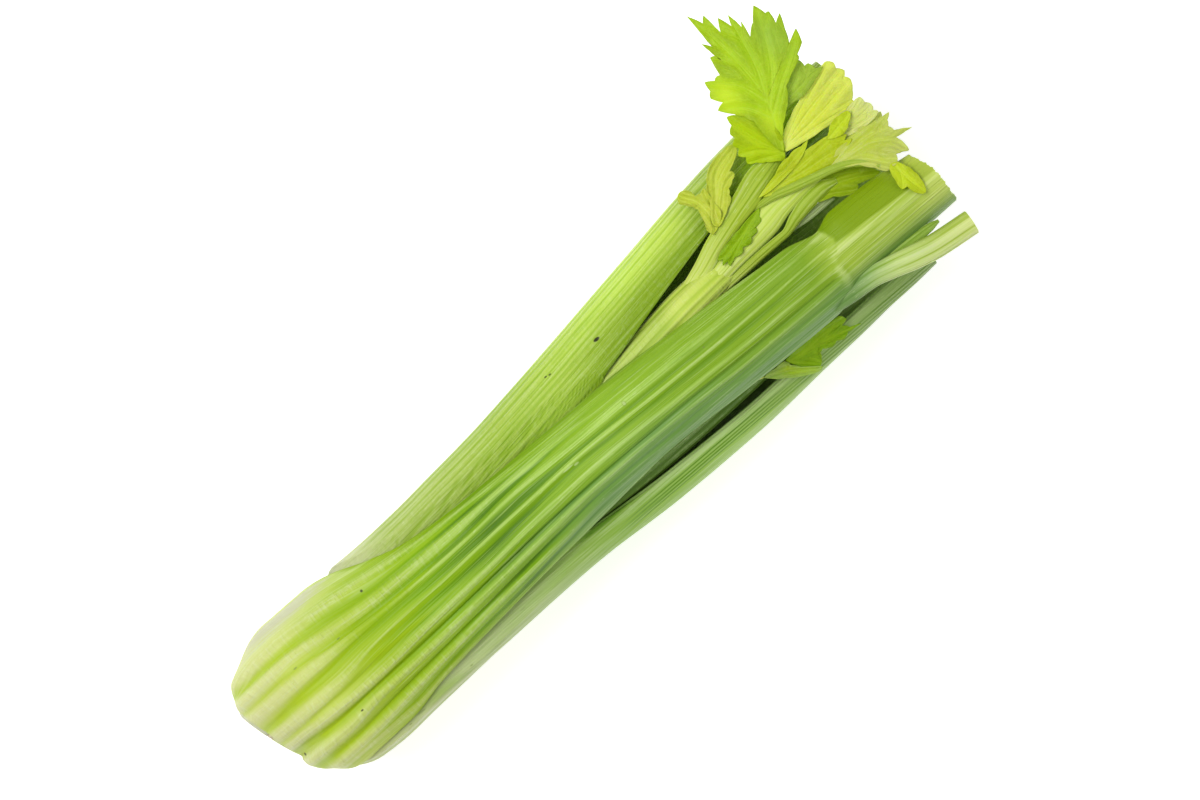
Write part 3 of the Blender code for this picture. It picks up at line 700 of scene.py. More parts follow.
INNER_SKIN = (
    (0.0, (0.76, 0.80, 0.50), (0.72, 0.77, 0.42), (0.66, 0.72, 0.32)),
    (0.090, (0.56, 0.66, 0.26), (0.52, 0.63, 0.21), (0.46, 0.58, 0.16)),
    (0.200, (0.30, 0.46, 0.09), (0.24, 0.40, 0.06), (0.20, 0.35, 0.04)),
    (0.345, (0.20, 0.34, 0.04), (0.15, 0.28, 0.02), (0.11, 0.22, 0.01)),
)
# Painted shade: the right inner stalk, seen down the gap between the front and right stalks, has dark colours
# from 0.15 to 0.26 m for the gap's shade
PAINTED_SHADE_SKIN = (
    INNER_SKIN[0], INNER_SKIN[1],
    (0.150, (0.13, 0.24, 0.03), (0.10, 0.20, 0.02), (0.08, 0.17, 0.01)),
    (0.260, (0.11, 0.21, 0.03), (0.09, 0.18, 0.02), (0.07, 0.15, 0.01)),
    (0.345, (0.18, 0.32, 0.03), (0.12, 0.24, 0.01), (0.07, 0.16, 0.005)),
)
for name, facing, reach, end, seed, colours in (
    ("inner_stalk_left", ((0, 112), (TOP, 112)), 0.66, 0.362, 6, INNER_SKIN),
    ("inner_stalk_right", ((0, -52), (0.12, -58), (0.17, -77), (0.26, -80), (0.31, -68), (TOP, -63)),
     ((0, 0.66), (0.12, 0.66), (0.155, 0.72), (0.20, 0.73), (0.26, 0.72), (0.30, 0.66), (TOP, 0.66)),
     0.358, 7, PAINTED_SHADE_SKIN),
    ("inner_stalk_back", ((0, 195), (TOP, 195)), 0.66, 0.366, 8, INNER_SKIN),
):
    inner = lay_stalk(name + "_piece", facing, reach, 0.95, 0.75, 0.013, end, plain_ribs(6, 0.7, seed), 64,
                      fibre_width=0.016)
    finish_piece(inner, stalk_finish(name + "_skin", colours, seed=seed * 5.0), "inner_stalk", name)

# ---- The heart stalks -----------------------------------------------------------------------------------
# The youngest stalks in the middle, pale yellow because they grew in the dark. The front one shows between
# the front and left stalks and splits into the three stems that carry the leaves.

HEART_SKIN = (
    (0.0, (0.80, 0.83, 0.56), (0.76, 0.80, 0.48), (0.72, 0.77, 0.42)),
    (0.150, (0.56, 0.66, 0.20), (0.52, 0.62, 0.16), (0.46, 0.58, 0.11)),
    (0.243, (0.46, 0.59, 0.10), (0.42, 0.56, 0.07), (0.36, 0.51, 0.05)),
    (0.252, (0.58, 0.68, 0.14), (0.53, 0.65, 0.10), (0.46, 0.60, 0.07)),
    (0.300, (0.50, 0.64, 0.07), (0.45, 0.60, 0.05), (0.40, 0.55, 0.04)),
)
heart_front = lay_stalk(
    "front_heart_stalk", ((0, 30), (0.20, 31), (0.25, 32), (TOP, 30)),
    ((0, 0.66), (0.16, 0.66), (0.20, 0.70), (0.25, 0.71), (0.270, 0.66), (0.286, 0.55)),
    ((0, 0.60), (0.17, 0.60), (0.22, 0.66), (0.26, 0.66), (0.286, 0.60)), 0.75, 0.013, 0.286,
    plain_ribs(5, 0.4, 9), 56, fibre_width=0.009)
finish_piece(heart_front, stalk_finish("front_heart_skin", HEART_SKIN, seed=41.0),
             "leafy_heart_stalk", "heart_stalk_front")
for name, facing, end, seed in (
    ("heart_stalk_left", ((0, 95), (TOP, 95)), 0.330, 10),
    ("heart_stalk_right", ((0, -85), (TOP, -85)), 0.340, 11),
):
    heart = lay_stalk(name + "_piece", facing, 0.34, 0.95, 0.45, 0.020, end, plain_ribs(4, 0.4, seed), 40,
                      fibre_width=0.008)
    finish_piece(heart, stalk_finish(name + "_skin", HEART_SKIN, seed=seed * 5.0), "heart_stalk", name)

# ---- The root plate -------------------------------------------------------------------------------------
# The short solid stem of dense cream flesh that every stalk grows from. It was cut across when the head was
# picked, and the cut has dried a little at its rim.

PLATE_TOP = 0.009
plate_rows, plate_cut = [], []
angle = np.linspace(-math.pi, math.pi, 97)
for s in [s for s in STATIONS if s <= PLATE_TOP]:
    radius = room_under(laid_at[s], angle, angle[1] - angle[0])
    radius[-1] = radius[0]
    shares = (0, 0.25, 0.5, 0.75, 0.93, 1) if s == 0 else (1,) if s < PLATE_TOP else (1, 0.5, 0)
    for share in shares:
        plate_rows.append(placed(s, share * radius * np.sin(angle), share * radius * np.cos(angle)))
        plate_cut.append(np.full(len(angle), share))
plate = with_values(skin("root_plate_piece", np.array(plate_rows)), {"ring": plate_cut}, 40, ends=False)
f = Finish("root_plate_flesh")
ring = f.stored("ring")
rough_cut = f.noise(None, None, 320.0, 4.0, 0.6)
bundles = f.node("TexVoronoi", {"feature": "F1"}, {"Vector": f.node("TexCoord", output=3), "Scale": 300.0})
flesh = f.mix(f.band(bundles, 0.12, 0.35), (0.45, 0.38, 0.17), (0.78, 0.75, 0.55))
flesh = f.mix(f.band(ring, 0.80, 1.0) * 0.6, flesh, (0.42, 0.30, 0.12))
flesh = f.mix(f.band(rough_cut, 0.5, 0.75) * 0.35, flesh, (0.52, 0.42, 0.22))
f.set(Base_Color=flesh, Roughness=0.55 + rough_cut * 0.2, Normal=f.bump(rough_cut, 0.0006),
      Subsurface_Weight=0.1, Subsurface_Radius=(0.005, 0.004, 0.002), Subsurface_Scale=0.6)
finish_piece(plate, f.material, "root_plate", "root_plate")

# ---- The stems ------------------------------------------------------------------------------------------
# Side stems that branch off the stalks: one cut short beside the front stalk's joint with a web of skin along
# it, those that carry the leaves of the heart stalk, and a thin one to the leaf on the right.


STEM_RINGS, STEM_SIDES = 90, 80


def stem(name, path, half_widths, flatness=0.72, ribs_round=9, rib_depth=0.00022, turned=0.0):
    """A stem: an oval ribbed tube through a path in millimetres, whose ends are cut across."""
    path = np.array(path, float) / 1000
    t = np.linspace(path[0, 0], path[-1, 0], STEM_RINGS)
    centre = np.stack([t, *(smooth(list(zip(path[:, 0], path[:, k])), t) for k in (1, 2))], 1)
    size = smooth(list(zip(path[:, 0], np.array(half_widths) / 1000)), t)
    ahead = np.gradient(centre, axis=0)
    ahead /= np.linalg.norm(ahead, axis=1)[:, None]
    aside = np.cross(ahead, (0, 0, 1))
    aside /= np.linalg.norm(aside, axis=1)[:, None]
    upward = np.cross(aside, ahead)
    turn = np.linspace(0, 2 * math.pi, STEM_SIDES + 1)
    ridge = np.abs(np.cos(turn * ribs_round / 2 + turned)) ** 0.7
    rows, values = [], []
    for k in range(STEM_RINGS):
        reach = size[k] - rib_depth * (1 - ridge)
        ring = (centre[k] + np.outer(reach * np.cos(turn), aside[k])
                + np.outer(flatness * reach * np.sin(turn), upward[k]))
        ring[-1] = ring[0]
        shares = (0.0, 0.6, 1.0) if k == 0 else (1.0, 0.6, 0.0) if k == STEM_RINGS - 1 else (1.0,)
        for share in shares:
            row = centre[k] + (ring - centre[k]) * share
            rows.append(laid_down(row[:, 0], row[:, 1], row[:, 2]))
            end = float(k in (0, STEM_RINGS - 1))
            values.append((np.full(len(turn), t[k]), np.cos(turn), ridge, 1 - ridge, 0 * turn, 0 * turn,
                           4 * np.cos(turn), end + 0 * turn))
    columns = np.array(values, np.float32).transpose(1, 0, 2)
    return with_values(skin(name, np.array(rows)), dict(zip(SKIN_VALUES, columns)), 50, ends=False)


side_stem = stem("front_side_stem", (
    (294, -17.5, 28.6), (303, -18.3, 31), (311, -18.6, 33.6), (320, -19.3, 35.4), (330, -21.6, 36.3),
    (340, -24.5, 36.6), (350, -26.8, 35.6), (367.5, -28.9, 34.6)), (2.4, 3.8, 4.5, 4.6, 5.0, 5.4, 5.5, 5.5),
    ribs_round=7, rib_depth=0.00045, turned=0.5)
finish_piece(side_stem, stalk_finish("side_stem_skin", (
    (0.314, (0.17, 0.29, 0.08), (0.15, 0.28, 0.07), (0.12, 0.24, 0.05)),
    (0.322, (0.30, 0.44, 0.15), (0.24, 0.37, 0.10), (0.18, 0.31, 0.04)),
    (0.333, (0.54, 0.66, 0.24), (0.42, 0.54, 0.14), (0.28, 0.42, 0.03)),
    (0.365, (0.64, 0.70, 0.26), (0.52, 0.61, 0.16), (0.40, 0.50, 0.07)),
# Painted shade: the side stem's side towards the web and the front stalk is darkened
), string_pitch=0.0009, seed=51.0, painted_shade=((0.30, 0.42, 0.02), -0.45, -0.80, 0.85, 0.315)), "outer_stalk")

web = stem("side_stem_web", ((312, -15, 33), (325, -17.4, 34.4), (340, -18.6, 34.4), (352, -19.2, 33.6),
                             (357.5, -19.6, 33)), (1.6, 2.6, 2.6, 2.0, 0.7), 0.35)
finish_piece(web, stalk_finish("side_stem_web_skin", (
    (0.300, (0.26, 0.40, 0.05), (0.20, 0.33, 0.02), (0.15, 0.27, 0.01)),
    (0.365, (0.26, 0.40, 0.05), (0.20, 0.33, 0.02), (0.15, 0.27, 0.01)),
), seed=53.0), "outer_stalk")

STEM_SKIN = (
    (0.262, (0.60, 0.70, 0.15), (0.55, 0.66, 0.11), (0.50, 0.62, 0.08)),
    (0.290, (0.39, 0.51, 0.04), (0.33, 0.45, 0.02), (0.27, 0.40, 0.01)),
    (0.335, (0.34, 0.47, 0.04), (0.29, 0.42, 0.02), (0.24, 0.37, 0.01)),
)
MIDDLE_STEM_SKIN = (
    (0.262, (0.62, 0.72, 0.17), (0.58, 0.69, 0.13), (0.54, 0.66, 0.10)),
    (0.300, (0.56, 0.68, 0.13), (0.52, 0.65, 0.10), (0.48, 0.61, 0.07)),
    (0.335, (0.50, 0.64, 0.09), (0.46, 0.61, 0.07), (0.42, 0.57, 0.05)),
)
GREYISH_SKIN = ((0.300, (0.48, 0.58, 0.27), (0.42, 0.54, 0.21), (0.36, 0.48, 0.14)),
                (0.335, (0.48, 0.58, 0.27), (0.42, 0.54, 0.21), (0.36, 0.48, 0.14)))
for name, path, widths, flatness, colours in (
    ("heart_stem_left", (
        (252, 25, 21), (268, 28.6, 24.4), (280, 33, 26.6), (292, 36.6, 28), (302, 39.4, 28.8),
        (311, 42, 28.8), (320, 44, 28), (328, 45.5, 27)),
     (2.0, 4.0, 4.6, 5.0, 5.6, 6.2, 4.6, 1.6), 0.50, STEM_SKIN),
    ("heart_stem_middle", (
        (250, 20, 21), (270, 22, 24.2), (282, 23.8, 25.6), (292, 25.2, 26.4), (302, 26.8, 27.6),
        (312, 28.2, 28.6), (322, 28.4, 30), (332, 27, 30.6)),
     (2.0, 4.0, 4.6, 5.4, 6.2, 5.0, 3.4, 1.6), 0.50, MIDDLE_STEM_SKIN),
    ("heart_stem_right", (
        (252, 15.8, 21), (270, 16.8, 24), (284, 17.6, 25), (296, 17.9, 26), (305, 17.9, 26.8),
        (313, 20.2, 28), (321, 22, 29), (329, 22.6, 29.4), (336, 21, 28.8)),
     (1.0, 1.6, 2.2, 2.1, 1.9, 2.8, 3.5, 3.2, 1.5), 0.55, STEM_SKIN),
    ("pale_inner_stem", (
        (302, 18, 22), (310, 17.4, 24.6), (320, 17.1, 25.4), (331, 17, 25.6)),
     (0.6, 1.2, 1.8, 1.6), 0.6, GREYISH_SKIN),
    ("lime_leaf_stem", (
        (300, 34.2, 27.6), (310, 33.4, 31.6), (320, 30.6, 33.6), (330, 27.8, 34.6), (340, 24.8, 37),
        (347, 20.5, 40.6), (352.5, 13.5, 44.2)), (0.8, 1.7, 2.0, 1.9, 1.7, 1.5, 0.9), 0.42, STEM_SKIN),
):
    ribs_round = 11 if max(widths) > 4 else 7
    finish_piece(stem(name, path, widths, flatness, ribs_round=ribs_round, rib_depth=0.00014),
                 stalk_finish(name + "_skin", colours, string_pitch=0.0010, seed=len(name) * 3.0),
                 "leafy_heart_stalk")
leaf_stem = stem(
    "right_leaf_stem", ((236, -15.5, 12.5), (250, -18.5, 13.5), (264, -23, 13.5)), (1.6, 1.5, 1.0))
finish_piece(leaf_stem, stalk_finish("right_leaf_stem_skin", STEM_SKIN, seed=61.0), "inner_stalk")

# ---- The leaves -----------------------------------------------------------------------------------------
# Thin lobed blades with toothed edges. Main veins run from each stem's end to the lobes and branch to the
# teeth, and the blade bulges between them. The bright ones had light, the yellow ones grew inside the head.


VEIN_STEPS = 12


def vein_lines(main, tips):
    """Short straight runs of the main veins, then of a branch to every tooth, with each run's strength."""
    runs, along, course = [], [], []
    for line in main:
        line = np.array(line, float)
        far = np.concatenate([[0], np.cumsum(np.hypot(*np.diff(line, axis=0).T))])
        at = np.linspace(0, far[-1], VEIN_STEPS + 1)
        points = np.stack([smooth(list(zip(far, line[:, k])), at) for k in (0, 1)], 1)
        runs += [(points[k], points[k + 1], 1 - 0.5 * k / VEIN_STEPS) for k in range(VEIN_STEPS)]
        along += list(points[:-1])
        course += list(np.diff(points, axis=0) / (far[-1] / VEIN_STEPS))
    along, course = np.array(along), np.array(course)
    for tip in tips:
        gone = tip - along
        ahead = (gone * course).sum(1)
        aside = np.abs(gone[:, 0] * course[:, 1] - gone[:, 1] * course[:, 0])
        start = along[np.argmin(np.abs(ahead - 1.3 * aside) + 0.35 * np.hypot(*gone.T))]
        middle = (start + tip) / 2 + (along[np.argmin(np.hypot(*gone.T))] - start) * 0.12
        runs += [(start, middle, 0.55), (middle, tip, 0.45)]
    return runs


# A blade's rings, its points between two of its outline, the waves round its edge and its thickness
LEAF_RINGS, POINTS_A_SIDE, LEAF_WAVES, LEAF_THICKNESS = 22, 6, 5, 0.0005


def leaf(name, lie, centre, edge, main, offset, bulge, wave, fold, seed):
    """A leaf blade: a fan from a centre to its toothed edge, in millimetres.

    lie gives the sheet that it follows: a place, its height, its rise each way and how it sags. offset is its
    height over that sheet, and bulge, wave and fold are how far it swells between its veins, how far its edge
    waves and how deep its creases are.
    """
    edge = np.array(edge, float)
    out = edge - centre
    away, turn = np.hypot(*out.T), np.unwrap(np.arctan2(out[:, 1], out[:, 0]))
    ahead, behind = np.roll(away, -1), np.roll(away, 1)
    tips = edge[(away > ahead) & (away > behind)]
    turns, reaches = [], []
    for k, t in ((k, t) for k in range(len(edge)) for t in np.arange(POINTS_A_SIDE) / POINTS_A_SIDE):
        x = out[k] * (1 - t) + out[(k + 1) % len(edge)] * t
        turns.append(math.atan2(x[1], x[0]))
        reaches.append(np.hypot(*x) + 0.35 * math.sin(math.pi * t))
    turns, reaches = np.array([*turns, turns[0]]), np.array([*reaches, reaches[0]])
    rng = np.random.default_rng(seed)
    phase = rng.uniform(0, 6.3, 4)
    runs = vein_lines(main, tips)
    (low_s, low_p), height, (rise_s, rise_p), sag = lie
    rows, values = [], []
    for share in np.linspace(0, 1, LEAF_RINGS + 1) ** 0.85:
        place = np.stack([np.cos(turns), np.sin(turns)], 1) * (share * reaches)[:, None] + centre
        near, vein = np.full(len(place), 9.0), np.zeros(len(place))
        for start, end, strength in runs:
            run = end - start
            t = np.clip(((place - start) @ run) / (run @ run), 0, 1)
            far = np.hypot(*(place - start - t[:, None] * run).T)
            near = np.minimum(near, far / (0.35 + 0.65 * strength))
            vein = np.maximum(vein, strength * np.exp(-((far / (0.30 + 0.45 * strength)) ** 2)))
        s, p = place[:, 0] - low_s, place[:, 1] - low_p
        lift = height + offset + rise_s * s + rise_p * p - sag * (s * s + p * p)
        lift += bulge * (1 - np.exp(-((near / 2.2) ** 2))) - 0.25 * vein
        uneven = 0.6 + 0.4 * np.sin(turns * 2 + phase[1])
        lift += wave * share**2 * np.sin(turns * LEAF_WAVES + phase[0]) * uneven
        ripple = np.sin(place[:, 0] * 0.55 + phase[2]) * np.sin(place[:, 1] * 0.5 + phase[3])
        lift += 0.3 * wave * share * ripple
        lift += fold * min(1, share * 1.6) * np.sin(near * 2.1 + phase[1] + share)
        rows.append(laid_down(place[:, 0] / 1000, place[:, 1] / 1000, lift / 1000))
        values.append((vein, np.full(len(place), share), np.minimum(near, 9)))
    columns = np.array(values, np.float32).transpose(1, 0, 2)
    columns = dict(zip(("vein", "share", "between"), columns))
    piece = with_values(skin(name, np.array(rows)), columns, 70, ends=False)
    thick = piece.modifiers.new("thickness", "SOLIDIFY")
    thick.thickness, thick.offset = LEAF_THICKNESS, 0
    bpy.context.view_layer.objects.active = piece
    bpy.ops.object.modifier_apply(modifier="thickness")
    return piece


def leaf_finish(name, base, edge, vein, depth=0.0, spots=()):
    """A soft leaf skin, paler along its veins, deeper between them, and netted with small ones."""
    f = Finish(name)
    veins, share = f.stored("vein"), f.stored("share")
    patch = f.noise(None, None, 90.0, 2.0, 0.5)
    mottle = f.noise(None, None, 420.0, 2.0, 0.6)
    between = f.stored("between")
    lines = f.noise(between, share * 3.0, 1.5, 2.0, 0.6)
    net = f.node("TexVoronoi", {"feature": "DISTANCE_TO_EDGE"},
                 {"Vector": f.node("TexCoord", output=3), "Scale": 520.0})
    colour = f.mix(f.band(share + (patch - 0.5) * 1.1, 0.25, 1.15), base, edge)
    dark = tuple(c * 0.70 for c in edge)
    colour = f.mix(f.band(between * 0.25 + (patch - 0.5) * 0.6, 0.25, 1.0) * (0.45 + depth), colour, dark)
    colour = f.mix(f.band(lines, 0.52, 0.70) * 0.40, colour, vein)
    colour = f.mix(f.band(0.5 - lines, 0.02, 0.20) * 0.35, colour, dark)
    colour = f.mix(f.band(mottle, 0.45, 0.75) * 0.22, colour, vein)
    colour = f.mix((1 - f.band(net, 0.0, 0.10)) * 0.12, colour, vein)
    colour = f.spotted(colour, spots, 0.1)
    colour = f.mix(f.band(veins, 0.30, 0.95) * 0.42, colour, vein)
    height = f.band(net, 0.0, 0.25) * 0.5 + f.noise(None, None, 1100.0, 3.0, 0.6) * 0.5
    return f.set(Base_Color=colour, Roughness=0.40 + patch * 0.15, Normal=f.bump(height, 0.00016, 0.6),
                 Subsurface_Weight=0.25, Subsurface_Radius=(0.002, 0.003, 0.0004), Subsurface_Scale=0.4,
                 Specular_IOR_Level=0.14)


BRIGHT = ((0.38, 0.56, 0.008), (0.33, 0.49, 0.006), (0.48, 0.65, 0.05))
UNLIT = ((0.42, 0.57, 0.003), (0.37, 0.52, 0.002), (0.46, 0.61, 0.02))
TIP = ((0.49, 0.62, 0.010), (0.46, 0.57, 0.010), (0.56, 0.68, 0.06))
YELLOW = ((0.60, 0.67, 0.05), (0.63, 0.70, 0.10), (0.70, 0.76, 0.18))
LIME = ((0.40, 0.50, 0.004), (0.46, 0.56, 0.012), (0.52, 0.62, 0.07))
PALE = ((0.46, 0.55, 0.045), (0.51, 0.58, 0.11), (0.58, 0.64, 0.20))
FADED = ((0.57, 0.63, 0.13), (0.61, 0.66, 0.21), (0.66, 0.71, 0.27))
CURLED = ((0.50, 0.58, 0.05), (0.46, 0.54, 0.04), (0.58, 0.65, 0.12))
DEEP = ((0.27, 0.47, 0.003), (0.19, 0.37, 0.002), (0.38, 0.57, 0.02))
SIDE_FOLD = ((0.36, 0.53, 0.006), (0.34, 0.50, 0.08), (0.46, 0.62, 0.16))
FRESH = ((0.25, 0.42, 0.001), (0.22, 0.38, 0.001), (0.34, 0.51, 0.02))
OLIVE = ((0.29, 0.41, 0.004), (0.26, 0.38, 0.004), (0.38, 0.50, 0.03))
MATT = ((0.33, 0.48, 0.03), (0.29, 0.43, 0.03), (0.42, 0.55, 0.08))
# The big leaf is lighter on its left and at its base, and greyer on its right
BIG_LEAF_LIGHTS = (
    ((323, 77), (9, 14), (0.56, 0.73, 0.02), 0.8), ((331, 57), (8, 10), (0.54, 0.72, 0.02), 0.6),
    ((354, 85), (11, 17), (0.31, 0.48, 0.05), 0.6), ((342, 86), (6, 13), (0.30, 0.48, 0.005), 0.5),
)
